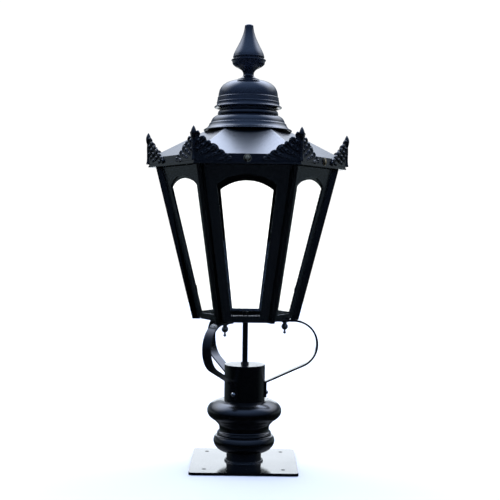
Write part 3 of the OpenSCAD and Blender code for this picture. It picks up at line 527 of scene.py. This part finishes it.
floor_edge_r = 0.4 * mm
bolt_edge_r = 0.25 * mm
floor_coat = coated("floor_coat", coat=(0.012, 0.013, 0.014), shine_loss=0.6, dust=0.15)
floor_shader = floor_coat.node_tree.nodes["Principled BSDF"]
floor_shader.inputs["Specular IOR Level"].default_value = 0.03
floor_plate = merged_copy("floor_plate", "lantern_floor")
ease_edges(floor_plate, floor_edge_r)
finish_piece(floor_plate, floor_coat, "head", "black_coat", "floor_plate")
floor_bolts = merged_copy("floor_bolts", "leg_bolts")
ease_edges(floor_bolts, bolt_edge_r, sharper_than=40)
finish_piece(floor_bolts, screw_plate, "head", "bright_screws", "floor_bolts")

# Drop nuts
# Turned pendant nuts under the legs: a washer, a waist, a ball and a small knob, once brassy and
# now dull.

drop_brass = bare("drop_brass", metal=(0.42, 0.39, 0.33), tarnish=(0.1, 0.09, 0.07),
                  shine_loss=0.3)
drop_nuts = merged_copy("drop_nuts", "pendant_nuts")
finish_piece(drop_nuts, drop_brass, "head", "bronze_nuts", "drop_nuts", smooth=32)

# Bottom frame
# A six-sided ring of steel bar on the floor plate, with the same dull coat. The ribs and the panels
# stand round it.

bottom_frame = merged_copy("bottom_frame", "floor_frame", whole_faces=False)
ease_edges(bottom_frame, floor_edge_r)
finish_piece(bottom_frame, floor_coat, "head", "black_coat", "bottom_frame")

# Corner ribs
# Six steel bars that stand proud at the body's corners, from the floor up to the top frame. Each
# has two wings, and a panel's edge lies on each wing.

rib_edge_r = 0.7 * mm
body_coat = coated("body_coat", coat=(0.0018, 0.0022, 0.0023), shine_loss=0.24)
for k in range(1, 7):
    rib = merged_copy(f"corner_rib_{k}", f"rib_{k}")
    ease_edges(rib, rib_edge_r, rounds=3)
    finish_piece(rib, body_coat, "head", "black_coat", f"corner_rib_{k}")

# Side panels
# Six sheets of steel that lean outwards on the ribs' wings, each with a tall opening under a flat
# arch, cut by laser and coated.

panel_edge_r = 0.35 * mm
panel_coat = coated("panel_coat", coat=(0.0034, 0.0048, 0.0056), shine_loss=0.2, dust=0.0)
for k in range(1, 7):
    panel = merged_copy(f"side_panel_{k}", f"panel_{k}")
    ease_edges(panel, panel_edge_r)
    finish_piece(panel, panel_coat, "head", "black_coat", f"side_panel_{k}")

# Panes
# Six sheets of clear glass behind the panels, with faint smudges, held by small bent clips.


def pane_glass():
    """Clear sheet glass: fully see-through, with faint smudges that only dull it here and there."""
    glass = bpy.data.materials.new("pane_glass")
    glass.use_nodes = True
    tree = glass.node_tree
    shader = tree.nodes["Principled BSDF"]
    shader.inputs["Transmission Weight"].default_value = 1.0
    shader.inputs["IOR"].default_value = 1.45
    place = add_node(tree, "ShaderNodeTexCoord")
    smudges = add_node(tree, "ShaderNodeTexNoise", values={"Scale": 22.0, "Detail": 5.0})
    tree.links.new(place.outputs["Object"], smudges.inputs["Vector"])
    dull = add_node(tree, "ShaderNodeMapRange",
                    values={"From Min": 0.5, "From Max": 0.8, "To Min": 0.0, "To Max": 0.05})
    tree.links.new(smudges.outputs["Fac"], dull.inputs["Value"])
    tree.links.new(dull.outputs["Result"], shader.inputs["Roughness"])
    tint = add_node(tree, "ShaderNodeMix", data_type="RGBA")
    tint.inputs["A"].default_value = (0.995, 1.0, 0.998, 1)
    tint.inputs["B"].default_value = (0.97, 0.98, 0.975, 1)
    tree.links.new(smudges.outputs["Fac"], tint.inputs["Factor"])
    tree.links.new(tint.outputs["Result"], shader.inputs["Base Color"])
    return glass


pane_edge_r = 0.3 * mm
clip_edge_r = 0.2 * mm
clear_glass = pane_glass()
for k in range(1, 7):
    pane = merged_copy(f"pane_{k}", f"glass_{k}")
    ease_edges(pane, pane_edge_r, rounds=1)
    finish_piece(pane, clear_glass, "head", "clear_pane", f"pane_{k}")
clips = merged_copy("pane_clips", "glass_clips")
ease_edges(clips, clip_edge_r, rounds=1)
finish_piece(clips, tube_coat, "head", "dark_screws", "pane_clips")

# Top frame
# A six-sided steel flange on the body's head, with a ring inside the panels and four upstands whose
# open slots take the fascia screws.

top_edge_r = 0.5 * mm
top_frame = merged_copy("top_frame", "head_frame")
ease_edges(top_frame, top_edge_r)
finish_piece(top_frame, body_coat, "head", "black_coat", "top_frame")

# Fascia
# A six-sided band folded from one strip, bluish black where it mirrors the sky, that drops over the
# top frame's upstands.

band_edge_r = 0.6 * mm
fascia_coat = coated("fascia_coat", coat=(0.0014, 0.0020, 0.0045), shine_loss=0.2)
fascia = merged_copy("fascia", "fascia_band")
ease_edges(fascia, band_edge_r, rounds=3)
finish_piece(fascia, fascia_coat, "canopy", "black_coat", "fascia")

# Fascia screws
# Broad domed brass screws with a washer, through the middle of four of the band's faces, each with
# a nut behind the slot. The middle of each dome is a painted highlight in bright brass, and its rim
# and the washer are painted shade in a near-black copy of the brass.

screw_edge_r = 0.2 * mm
fascia_nut_edge_r = 0.25 * mm
# the radius of the painted highlight in the middle of each screw head
painted_highlight_r = 5.0 * mm
screw_brass = bare("screw_brass", metal=(0.62, 0.51, 0.32), tarnish=(0.22, 0.16, 0.08),
                   shine_loss=0.36)
# a near-black copy of the brass: painted shade for the screws' rims and washers
shaded_screw_brass = bare("shaded_screw_brass", metal=(0.03, 0.024, 0.014), tarnish=(0.02, 0.016, 0.01),
                     shine_loss=0.55, metallic=0.8)
fascia_screws = merged_copy("fascia_screws", "fascia_screw_heads")
ease_edges(fascia_screws, screw_edge_r, rounds=1)
finish_piece(fascia_screws, screw_brass, "canopy", "bronze_nuts", "fascia_screws", smooth=40)
fascia_screws.data.materials.append(shaded_screw_brass)
screw_low, screw_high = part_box("fascia_screws")
screw_z = (screw_low.z + screw_high.z) / 2
face_ways = [Vector((math.cos(math.radians(way)), math.sin(math.radians(way)), 0))
             for way in range(30, 390, 60)]
# the middle of each head keeps the bright brass as a painted highlight; the rim and the washer get
# the near-black copy as painted shade
for polygon in fascia_screws.data.polygons:
    outward = max(face_ways, key=polygon.center.dot)
    off_axis = polygon.center - outward * polygon.center.dot(outward)
    off_axis.z -= screw_z
    if off_axis.length > painted_highlight_r:
        polygon.material_index = 1
fascia_nuts = merged_copy("fascia_nuts", "fascia_screw_nuts")
ease_edges(fascia_nuts, fascia_nut_edge_r)
finish_piece(fascia_nuts, screw_plate, "canopy", "bright_screws", "fascia_nuts")

# Leaf crowns
# Six coated castings in light alloy, one over each corner of the band, on two studs each: a spine
# that ends in a pointed bud, and on both faces a bank of curled acanthus lobes on a back plate.

crown_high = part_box("crown_1")[1]
corner_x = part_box("fascia")[1].x
crown_h = 75 * mm
crown_back_t = 2.2 * mm
crown_nut_edge_r = 0.2 * mm
face_angle = math.radians(30)
lobe_swell = 3.8
# each lobe, in mm: where it starts and ends, along the wing and up, its half width and its lift
lobe_places = [
    (3, 50, 8.5, 65, 5.0, 1.2), (8, 37, 20.5, 54.5, 6.6, 1.4), (19, 27.5, 32, 45.5, 7.0, 1.2),
    (29, 20.5, 44.5, 36, 7.2, 1.4), (41, 14, 57.5, 27, 6.8, 1.2), (53, 10.5, 69, 18.5, 6.0, 1.4),
    (63, 8.5, 76.5, 11.5, 5.4, 1.2), (3.4, 33, 10, 49, 4.4, 2.4), (9, 25, 20, 40, 5.0, 2.4),
    (18, 17.5, 32, 30, 5.0, 2.4), (30, 11.5, 47, 21, 4.6, 2.2), (47, 7, 62, 10.5, 3.6, 2.0),
    (3.2, 19, 8.5, 32, 3.8, 1.5), (9, 13, 19, 23.5, 4.0, 1.5), (19, 8.5, 32, 15.5, 3.8, 1.5)]
# the spine, in mm: its bud, its height, and how far its axis is behind the crown's front
bud_r = 5.4
spine_h = 68.7
spine_in = 6
spine_outline = [(4.0, 0), (4.2, 3), (3.4, 6), (3.0, 12), (3.1, 24), (3.4, 32), (3.3, 38),
                 (3.0, 42), (3.8, 45.5), (4.8, 49), (bud_r, 53), (bud_r, 56.5), (4.7, 60),
                 (3.4, 63.4), (1.8, 66.4), (0.1, spine_h)]


def leaf_lobe(length, half_width, swell):
    """One lobe of an acanthus leaf along +X, face up: it swells from a thin root to a fat curled
    tip, with a sunk midrib, side grooves and a wavy edge."""
    curl_at, curl_length = 0.78, 0.14
    wave_depth = 0.07
    midrib_width, midrib_depth = 0.18, 0.6
    groove_depth = 0.18
    bpy.ops.object.select_all(action="DESELECT")
    bpy.ops.mesh.primitive_uv_sphere_add(segments=28, ring_count=16, radius=1)
    lobe = bpy.context.object
    bpy.ops.object.mode_set(mode="EDIT")
    bpy.ops.mesh.select_all(action="SELECT")
    bpy.ops.transform.rotate(value=math.radians(90), orient_axis="Y", center_override=(0, 0, 0))
    bpy.ops.object.mode_set(mode="OBJECT")
    for vertex in lobe.data.vertices:
        x, across, up = vertex.co
        along = (x + 1) / 2
        widening = 0.4 + 0.6 * math.sin(min(along / 0.8, 1) * math.pi / 2)
        curl = math.exp(-((along - curl_at) / curl_length) ** 2)
        waves = 1 + wave_depth * math.cos(along * 5 * math.pi) * along
        midrib = math.exp(-(across / midrib_width) ** 2) * min(3 * (1 - along), 1)
        slant = math.copysign(3.0 * along, across)
        grooves = groove_depth * math.cos((across * 4.0 - slant) * math.pi) * (1 - midrib)
        fullness = 0.3 + 0.5 * along + 0.55 * curl
        rise = up * fullness * (1 - midrib_depth * midrib + grooves) if up > 0 else up * 0.3
        vertex.co = (along * length, across * half_width * widening * waves, rise * swell)
    return lobe


def face_outward(side):
    """The way out of the band's face on one side of the corner that points along +X."""
    return Vector((math.cos(face_angle * side), math.sin(face_angle * side), 0))


def laid_on_wing(side, x, up, turn, lift):
    """The matrix that lays a lobe on one wing: x along it from the corner, up, turned, lifted."""
    outward = face_outward(side)
    along = Vector((-outward.y * side, outward.x * side, 0))
    place = Matrix((along, Vector((0, 0, 1)), outward)).transposed().to_4x4()
    place.translation = (Vector((corner_x, 0, crown_high.z - crown_h)) + along * x
                         + Vector((0, 0, up)) + outward * lift)
    return place @ Matrix.Rotation(turn, 4, "Z")


def close_ends(piece):
    """Closes the open rings at the two ends of a turned piece, and points its faces outwards."""
    only(piece)
    bpy.ops.object.mode_set(mode="EDIT")
    bpy.ops.mesh.select_all(action="DESELECT")
    bpy.ops.mesh.select_non_manifold()
    bpy.ops.mesh.edge_face_add()
    bpy.ops.mesh.select_all(action="SELECT")
    bpy.ops.mesh.normals_make_consistent(inside=False)
    bpy.ops.object.mode_set(mode="OBJECT")


# what stands in front of the back plate comes off, and the spine and the lobes go on in its place
crown = merged_copy("crown_1", "crown_pattern")
cutter_size = 300 * mm
for side in (1, -1):
    bpy.ops.mesh.primitive_cube_add(
        size=cutter_size, rotation=(0, 0, face_angle * side),
        location=(Vector((corner_x, 0, crown_high.z))
                  + face_outward(side) * (crown_back_t + cutter_size / 2)))
    cut_away(crown, bpy.context.object)
spine = turned("crown_spine", raised(spine_outline, crown_high.z - spine_h * mm), around=24)
close_ends(spine)
spine.data.transform(Matrix.Translation((crown_high.x - spine_in * mm, 0, 0)))
cast_parts = [spine]
for side in (1, -1):
    for x0, up0, x1, up1, half_width, lift in lobe_places:
        lobe = leaf_lobe(math.hypot(x1 - x0, up1 - up0) * mm, half_width * mm, lobe_swell * mm)
        turn = math.atan2(up1 - up0, x1 - x0)
        lobe.data.transform(laid_on_wing(side, x0 * mm, up0 * mm, turn, lift * mm))
        cast_parts.append(lobe)
only(crown)
for part in cast_parts:
    part.select_set(True)
bpy.ops.object.join()
bpy.ops.object.mode_set(mode="EDIT")
bpy.ops.mesh.select_all(action="SELECT")
bpy.ops.mesh.normals_make_consistent(inside=False)
bpy.ops.object.mode_set(mode="OBJECT")
crown_coat = coated("crown_coat", coat=(0.0012, 0.0017, 0.0028), shine_loss=0.2,
                    grain_size=420, grain_depth=0.06)
for k in range(1, 7):
    casting = bpy.data.objects.new(f"leaf_crown_{k}", crown.data.copy())
    bpy.context.scene.collection.objects.link(casting)
    casting.data.transform(Matrix.Rotation(math.radians(60 * (k - 1)), 4, "Z"))
    finish_piece(casting, crown_coat, "canopy", "black_cast_alloy", f"crown_{k}", smooth=50)
bpy.data.objects.remove(crown)
crown_nuts = merged_copy("crown_nuts", "crown_stud_nuts")
ease_edges(crown_nuts, crown_nut_edge_r)
finish_piece(crown_nuts, screw_plate, "canopy", "bright_screws", "crown_nuts")

# Roof
# Steel sheet folded into six slopes that meet in hips, from the band's top edge up under the
# chimney. A glossy top coat mirrors the sky behind it.

hip_edge_r = 1.2 * mm
roof_coat = coated("roof_coat", coat=(0.0020, 0.0024, 0.0034), shine_loss=0.3)
roof_shader = roof_coat.node_tree.nodes["Principled BSDF"]
roof_shader.inputs["Coat Weight"].default_value = 0.6
roof_shader.inputs["Coat Roughness"].default_value = 0.22
roof = merged_copy("roof", "roof_sheet")
ease_edges(roof, hip_edge_r, rounds=3, sharper_than=15)
finish_piece(roof, roof_coat, "canopy", "black_coat", "roof")

# Chimney
# A flat ring on the roof's top edge carries the slotted neck, and over it slips the skirt, spun
# from alloy sheet with a rolled rim, two steps and a bead. All are coated a bluish black.

ring_edge_r = 0.4 * mm
spun_t = 1.5
chimney_coat = coated("chimney_coat", coat=(0.0046, 0.0068, 0.0125), shine_loss=0.2,
                      grain_depth=0.012)
chimney_ring = merged_copy("chimney_ring", "chimney_base")
ease_edges(chimney_ring, ring_edge_r)
finish_piece(chimney_ring, chimney_coat, "canopy", "black_alloy", "chimney_ring")
neck = merged_copy("vent_neck", "vented_neck")
finish_piece(neck, chimney_coat, "canopy", "black_alloy", "vent_neck", smooth=30)

skirt_low, skirt_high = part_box("chimney_skirt")
skirt_r = skirt_high.x / mm
skirt_h = (skirt_high.z - skirt_low.z) / mm
neck_r = 59.2
skirt_outline = (
    # the rolled rim, from below
    bow((skirt_r - 2, 0.1), (skirt_r - 0.6, 0), (skirt_r, 0.6), (skirt_r, 1.5), 4)
    # over the rim
    + bow((skirt_r - 0.1, 2), (skirt_r - 0.6, 3), (skirt_r - 1.6, 3.2), (skirt_r - 2.4, 3.6), 4)
    # the flare
    + bow((skirt_r - 3, 4), (skirt_r - 8, 6), (skirt_r - 11, 10), (skirt_r - 12.4, 15.4), 12)
    # the lower step
    + bow((skirt_r - 12.9, 16), (skirt_r - 14, 16.6), (skirt_r - 15, 17),
          (skirt_r - 15.4, 17.9), 4)
    # the shoulder
    + bow((skirt_r - 15.5, 18.6), (skirt_r - 17.4, 27), (skirt_r - 23, 31.2),
          (skirt_r - 28, 33), 14)
    # the upper step
    + bow((skirt_r - 29, 33.2), (skirt_r - 31, 33.4), (skirt_r - 32, 33.6),
          (skirt_r - 32.6, 34.2), 4)
    # the bead
    + bow((neck_r + 5.4, 34.8), (neck_r + 7.4, 35.2), (neck_r + 7.2, 38),
          (neck_r + 5, 42.6), 9)
    # in to the neck
    + bow((neck_r + 4.2, 43.6), (neck_r + 3, 44.6), (neck_r + 1.4, 44.9),
          (neck_r, skirt_h), 5))
skirt_inside = [(neck_r - spun_t, skirt_h), (neck_r - spun_t, 36.4), (skirt_r - 29, 31.4),
                (skirt_r - 18.6, 24.6), (skirt_r - 17, 17.2), (skirt_r - 13.6, 13),
                (skirt_r - 5, 3.2), (skirt_r - 2, 0.1)]
skirt = turned("spun_skirt", raised(skirt_outline + skirt_inside, skirt_low.z), around=160)
finish_piece(skirt, chimney_coat, "canopy", "black_alloy", "chimney_skirt", smooth=28)

# Dome
# A cap spun from alloy sheet, with a rolled rim and two beads, that keeps the rain out of the vent.
# The finial clamps it down on the stud.

dome_low, dome_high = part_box("dome")
rim_r = dome_high.x / mm
dome_h = (dome_high.z - dome_low.z) / mm
stud_hole_r = 5.3
top_steps = 30
dome_outline = (
    # the rolled rim, from below
    bow((rim_r - 2, 0.1), (rim_r - 0.6, 0), (rim_r, 0.7), (rim_r, 1.6), 4)
    # over the rim
    + bow((rim_r - 0.1, 2.2), (rim_r - 0.6, 3.3), (rim_r - 2, 3.6), (rim_r - 4, 4.6), 5)
    # the lower band
    + bow((rim_r - 4.6, 5.4), (rim_r - 5.2, 7), (rim_r - 5.4, 8.2), (rim_r - 5.6, 10.4), 4)
    # the lower bead
    + bow((rim_r - 5.3, 10.9), (rim_r - 4.9, 11.4), (rim_r - 5, 12.2), (rim_r - 5.8, 12.8), 4)
    # the upper band
    + bow((rim_r - 6, 13.4), (rim_r - 6.3, 16), (rim_r - 6.8, 19), (rim_r - 7.2, 21), 4)
    # the upper bead
    + bow((rim_r - 6.9, 21.5), (rim_r - 6.6, 22.2), (rim_r - 7, 23), (rim_r - 8, 23.4), 4)
    # the round top
    + bow((rim_r - 8.6, 24), (rim_r - 9, 42.5), (rim_r - 17.4, 57.5), (rim_r - 50, dome_h),
          top_steps))
dome_inside = (
    [(stud_hole_r, dome_h), (stud_hole_r, dome_h - spun_t)]
    + [(radius - spun_t, up - spun_t) for radius, up in reversed(dome_outline[-top_steps:])]
    + [(rim_r - 7.5, 4), (rim_r - 2, 0.1)])
dome = turned("spun_dome", raised(dome_outline + dome_inside, dome_low.z), around=160)
dome_coat = coated("dome_coat", coat=(0.0052, 0.0078, 0.0148), shine_loss=0.2,
                   grain_depth=0.012)
finish_piece(dome, dome_coat, "canopy", "black_alloy", "dome", smooth=28)

# Finial
# A cast and turned knob that screws down on the stud over the dome: a foot, a slim neck, a bowl
# with a thin disc round it, and a tall drop.

finial_low, finial_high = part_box("finial")
disc_r = finial_high.x / mm
finial_h = (finial_high.z - finial_low.z) / mm
stem_r = 11.5
finial_outline = (
    # the foot, just clear of the dome
    bow((disc_r * 0.63, 0.05), (disc_r * 0.64, 0.2), (disc_r * 0.64, 1.4),
        (disc_r * 0.62, 1.8), 4)
    # in to the neck
    + bow((disc_r * 0.58, 2.6), (disc_r * 0.44, 4.4), (stem_r, 6.6), (stem_r, 12.6), 10)
    # the bowl
    + bow((stem_r, 13.4), (stem_r + 2, 26.6), (disc_r * 0.7, 24.2), (disc_r * 0.91, 34.5), 18)
    # the bowl's upright edge
    + bow((disc_r * 0.92, 35.6), (disc_r * 0.93, 38), (disc_r * 0.94, 40),
          (disc_r * 0.95, 41.2), 5)
    # the disc
    + bow((disc_r * 0.97, 41.6), (disc_r, 42), (disc_r, 43.9), (disc_r * 0.97, 44.2), 5)
    # the groove over the disc
    + bow((disc_r * 0.9, 45), (disc_r * 0.87, 45.8), (disc_r * 0.85, 46.6),
          (disc_r * 0.86, 47.6), 4)
    # the bead under the drop
    + bow((disc_r * 0.88, 48.2), (disc_r * 0.91, 49.2), (disc_r * 0.9, 50.8),
          (disc_r * 0.885, 52), 5)
    # the drop
    + bow((disc_r * 0.88, 53), (disc_r * 0.815, 65), (disc_r * 0.3, 90), (disc_r * 0.25, 116), 30)
    # its round tip
    + bow((disc_r * 0.25, 116.6), (disc_r * 0.25, 119.4), (disc_r * 0.16, finial_h),
          (0.1, finial_h), 9))
finial = turned("turned_finial", raised(finial_outline, finial_low.z), around=128)
close_ends(finial)
finish_piece(finial, dome_coat, "finial", "black_alloy", "finial", smooth=28)

# Stud and crossbar
# A steel bar across the neck holds a threaded stud with nuts: the dome and the finial stand on it,
# and the lampholder hangs from its lower end.

stud_edge_r = 0.3 * mm
for node in ("crossbar", "stud", "stud_nuts"):
    part = merged_copy(node, node + "_steel")
    ease_edges(part, stud_edge_r)
    finish_piece(part, screw_plate, "canopy", "bright_screws", node)

# Lamp
# A porcelain holder on the stud's lower end with a frosted lamp in a brass cap. It is out of sight
# above the windows.

porcelain = coated("porcelain", coat=(0.82, 0.8, 0.74), shine_loss=0.12, grain_size=120,
                   grain_depth=0.05, wear=0.0)
holder = merged_copy("lampholder", "porcelain_holder")
finish_piece(holder, porcelain, "canopy", "porcelain", "lampholder", smooth=30)
lamp_brass = bare("lamp_brass", metal=(0.72, 0.55, 0.28), tarnish=(0.35, 0.24, 0.1),
                  shine_loss=0.25)
lamp_cap = merged_copy("lamp_cap", "brass_cap")
finish_piece(lamp_cap, lamp_brass, "lamp", "lamp_brass", "lamp_cap", smooth=30)
frosted = coated("frosted_bulb", coat=(0.86, 0.86, 0.83), shine_loss=0.35, grain_size=2500,
                 grain_depth=0.02, dust=0.0, wear=0.0)
bulb = merged_copy("lamp_bulb", "frosted_bulb")
finish_piece(bulb, frosted, "lamp", "bulb_glass", "lamp_bulb", smooth=40)

# Studio
# A plain pale floor in a room that is plain white to look at, also through the panes. What lights
# the lantern and shows in its gloss is a soft sky, bright behind it and dim in front.

floor_size = 9.0
floor_drop = 0.2 * mm
bpy.ops.object.select_all(action="DESELECT")
bpy.ops.mesh.primitive_plane_add(size=floor_size, location=(0, 0, -floor_drop))
studio_floor = bpy.context.object
studio_floor.name = "studio_floor"
studio_floor.visible_glossy = False
studio_floor.visible_transmission = False
pale = bpy.data.materials.new("pale_floor")
pale.use_nodes = True
pale_shader = pale.node_tree.nodes["Principled BSDF"]
pale_shader.inputs["Base Color"].default_value = (0.86, 0.81, 0.77, 1)
pale_shader.inputs["Roughness"].default_value = 0.9
studio_floor.data.materials.append(pale)

sky_strength = 8.0
plain_white = 1.05
pane_loss = 0.8
room = bpy.data.worlds.new("white_room")
bpy.context.scene.world = room
room.use_nodes = True
tree = room.node_tree
tree.nodes.clear()
link = tree.links.new
direction = add_node(tree, "ShaderNodeTexCoord")
parts = add_node(tree, "ShaderNodeSeparateXYZ")
link(direction.outputs["Generated"], parts.inputs["Vector"])
height = add_node(tree, "ShaderNodeMapRange", values={"From Min": -1.0, "From Max": 1.0})
link(parts.outputs["Z"], height.inputs["Value"])


def sky_ramp(stops):
    """A colour ramp over the height of a direction, from straight down at 0 to straight up at 1."""
    ramp = add_node(tree, "ShaderNodeValToRGB")
    ramp.color_ramp.elements[0].position = stops[0][0]
    ramp.color_ramp.elements[0].color = (*stops[0][1], 1)
    ramp.color_ramp.elements[1].position = stops[-1][0]
    ramp.color_ramp.elements[1].color = (*stops[-1][1], 1)
    for position, colour in stops[1:-1]:
        ramp.color_ramp.elements.new(position).color = (*colour, 1)
    link(height.outputs["Result"], ramp.inputs["Fac"])
    return ramp


overhead = (0.07, 0.105, 0.18)
front_sky = sky_ramp([(0.0, (0.001, 0.001, 0.001)), (0.485, (0.0008, 0.0011, 0.0016)),
                      (0.505, (0.002, 0.003, 0.006)), (0.545, (0.008, 0.013, 0.026)),
                      (0.77, (0.027, 0.043, 0.08)), (0.93, (0.060, 0.094, 0.175)),
                      (1.0, overhead)])
back_sky = sky_ramp([(0.0, (0.002, 0.002, 0.002)), (0.36, (0.003, 0.004, 0.004)),
                     (0.43, (0.015, 0.019, 0.021)), (0.5, (0.04, 0.048, 0.053)),
                     (0.6, (0.016, 0.019, 0.024)), (0.655, (0.03, 0.036, 0.048)),
                     (0.7, (0.15, 0.165, 0.19)), (0.76, (0.25, 0.27, 0.31)),
                     (0.86, (0.55, 0.62, 0.79)), (0.95, (0.5, 0.58, 0.76)),
                     (0.975, (0.12, 0.16, 0.25)), (1.0, overhead)])
# 0 in front of the lantern, 1 behind it, and a soft change between
behind = add_node(tree, "ShaderNodeMapRange",
                  values={"From Min": -0.25, "From Max": 0.4}, interpolation_type="SMOOTHSTEP")
link(parts.outputs["Y"], behind.inputs["Value"])
sky = add_node(tree, "ShaderNodeMix", data_type="RGBA")
link(behind.outputs["Result"], sky.inputs["Factor"])
link(front_sky.outputs["Color"], sky.inputs["A"])
link(back_sky.outputs["Color"], sky.inputs["B"])
lit = add_node(tree, "ShaderNodeBackground", values={"Strength": sky_strength})
link(sky.outputs["Result"], lit.inputs["Color"])
seen = add_node(tree, "ShaderNodeBackground", values={"Color": (1, 1, 1, 1)})
ray = add_node(tree, "ShaderNodeLightPath")
mirrored = add_node(tree, "ShaderNodeMath", operation="ADD")
link(ray.outputs["Glossy Depth"], mirrored.inputs[0])
link(ray.outputs["Diffuse Depth"], mirrored.inputs[1])
unmirrored = add_node(tree, "ShaderNodeMath", operation="LESS_THAN")
link(mirrored.outputs["Value"], unmirrored.inputs[0])
# a straight look through panes only, and made whiter by what the panes take away
through_glass = add_node(tree, "ShaderNodeMath", operation="MULTIPLY")
link(ray.outputs["Is Transmission Ray"], through_glass.inputs[0])
link(unmirrored.outputs["Value"], through_glass.inputs[1])
whiter = add_node(tree, "ShaderNodeMath", operation="MULTIPLY_ADD")
link(through_glass.outputs["Value"], whiter.inputs[0])
whiter.inputs[1].default_value = pane_loss
whiter.inputs[2].default_value = plain_white
link(whiter.outputs["Value"], seen.inputs["Strength"])
straight = add_node(tree, "ShaderNodeMath", operation="MAXIMUM")
link(ray.outputs["Is Camera Ray"], straight.inputs[0])
link(through_glass.outputs["Value"], straight.inputs[1])
choice = add_node(tree, "ShaderNodeMixShader")
link(straight.outputs["Value"], choice.inputs["Fac"])
link(lit.outputs["Background"], choice.inputs[1])
link(seen.outputs["Background"], choice.inputs[2])
output = add_node(tree, "ShaderNodeOutputWorld")
link(choice.outputs["Shader"], output.inputs["Surface"])

# a soft lamp low behind the lantern, which the base plate mirrors
backdrop_place = (0, 1.5, 0.33)
backdrop = bpy.data.lights.new("lit_backdrop", type="AREA")
backdrop.shape = "RECTANGLE"
backdrop.size, backdrop.size_y = 0.8, 0.3
backdrop.energy = 2.2
backdrop.color = (0.88, 0.94, 1.0)
backdrop_lamp = bpy.data.objects.new("lit_backdrop", backdrop)
bpy.context.scene.collection.objects.link(backdrop_lamp)
backdrop_lamp.matrix_world = (Matrix.Translation(backdrop_place)
                              @ Matrix.Rotation(math.radians(-90), 4, "X"))
backdrop_lamp.visible_camera = False
backdrop_lamp.visible_transmission = False

scene = bpy.context.scene
scene.view_settings.view_transform = "Standard"

# the camera stands and looks as the photograph's did, with its angles in degrees
camera_place = (0, -2.2016, 0.52417)
camera_pan, camera_pitch, camera_roll = -0.211, -1.477, -0.732
film_width = 36
focal_length = 72.68
camera_data = bpy.data.cameras.new("photo_camera")
camera_data.sensor_width = film_width
camera_data.lens = focal_length
camera = bpy.data.objects.new("photo_camera", camera_data)
scene.collection.objects.link(camera)
turn = (Matrix.Rotation(math.radians(camera_pan), 4, "Z")
        @ Matrix.Rotation(math.radians(camera_pitch), 4, "X")
        @ Matrix.Rotation(math.radians(camera_roll), 4, "Y")
        @ Matrix.Rotation(math.radians(90), 4, "X"))
camera.matrix_world = Matrix.Translation(camera_place) @ turn
scene.camera = camera
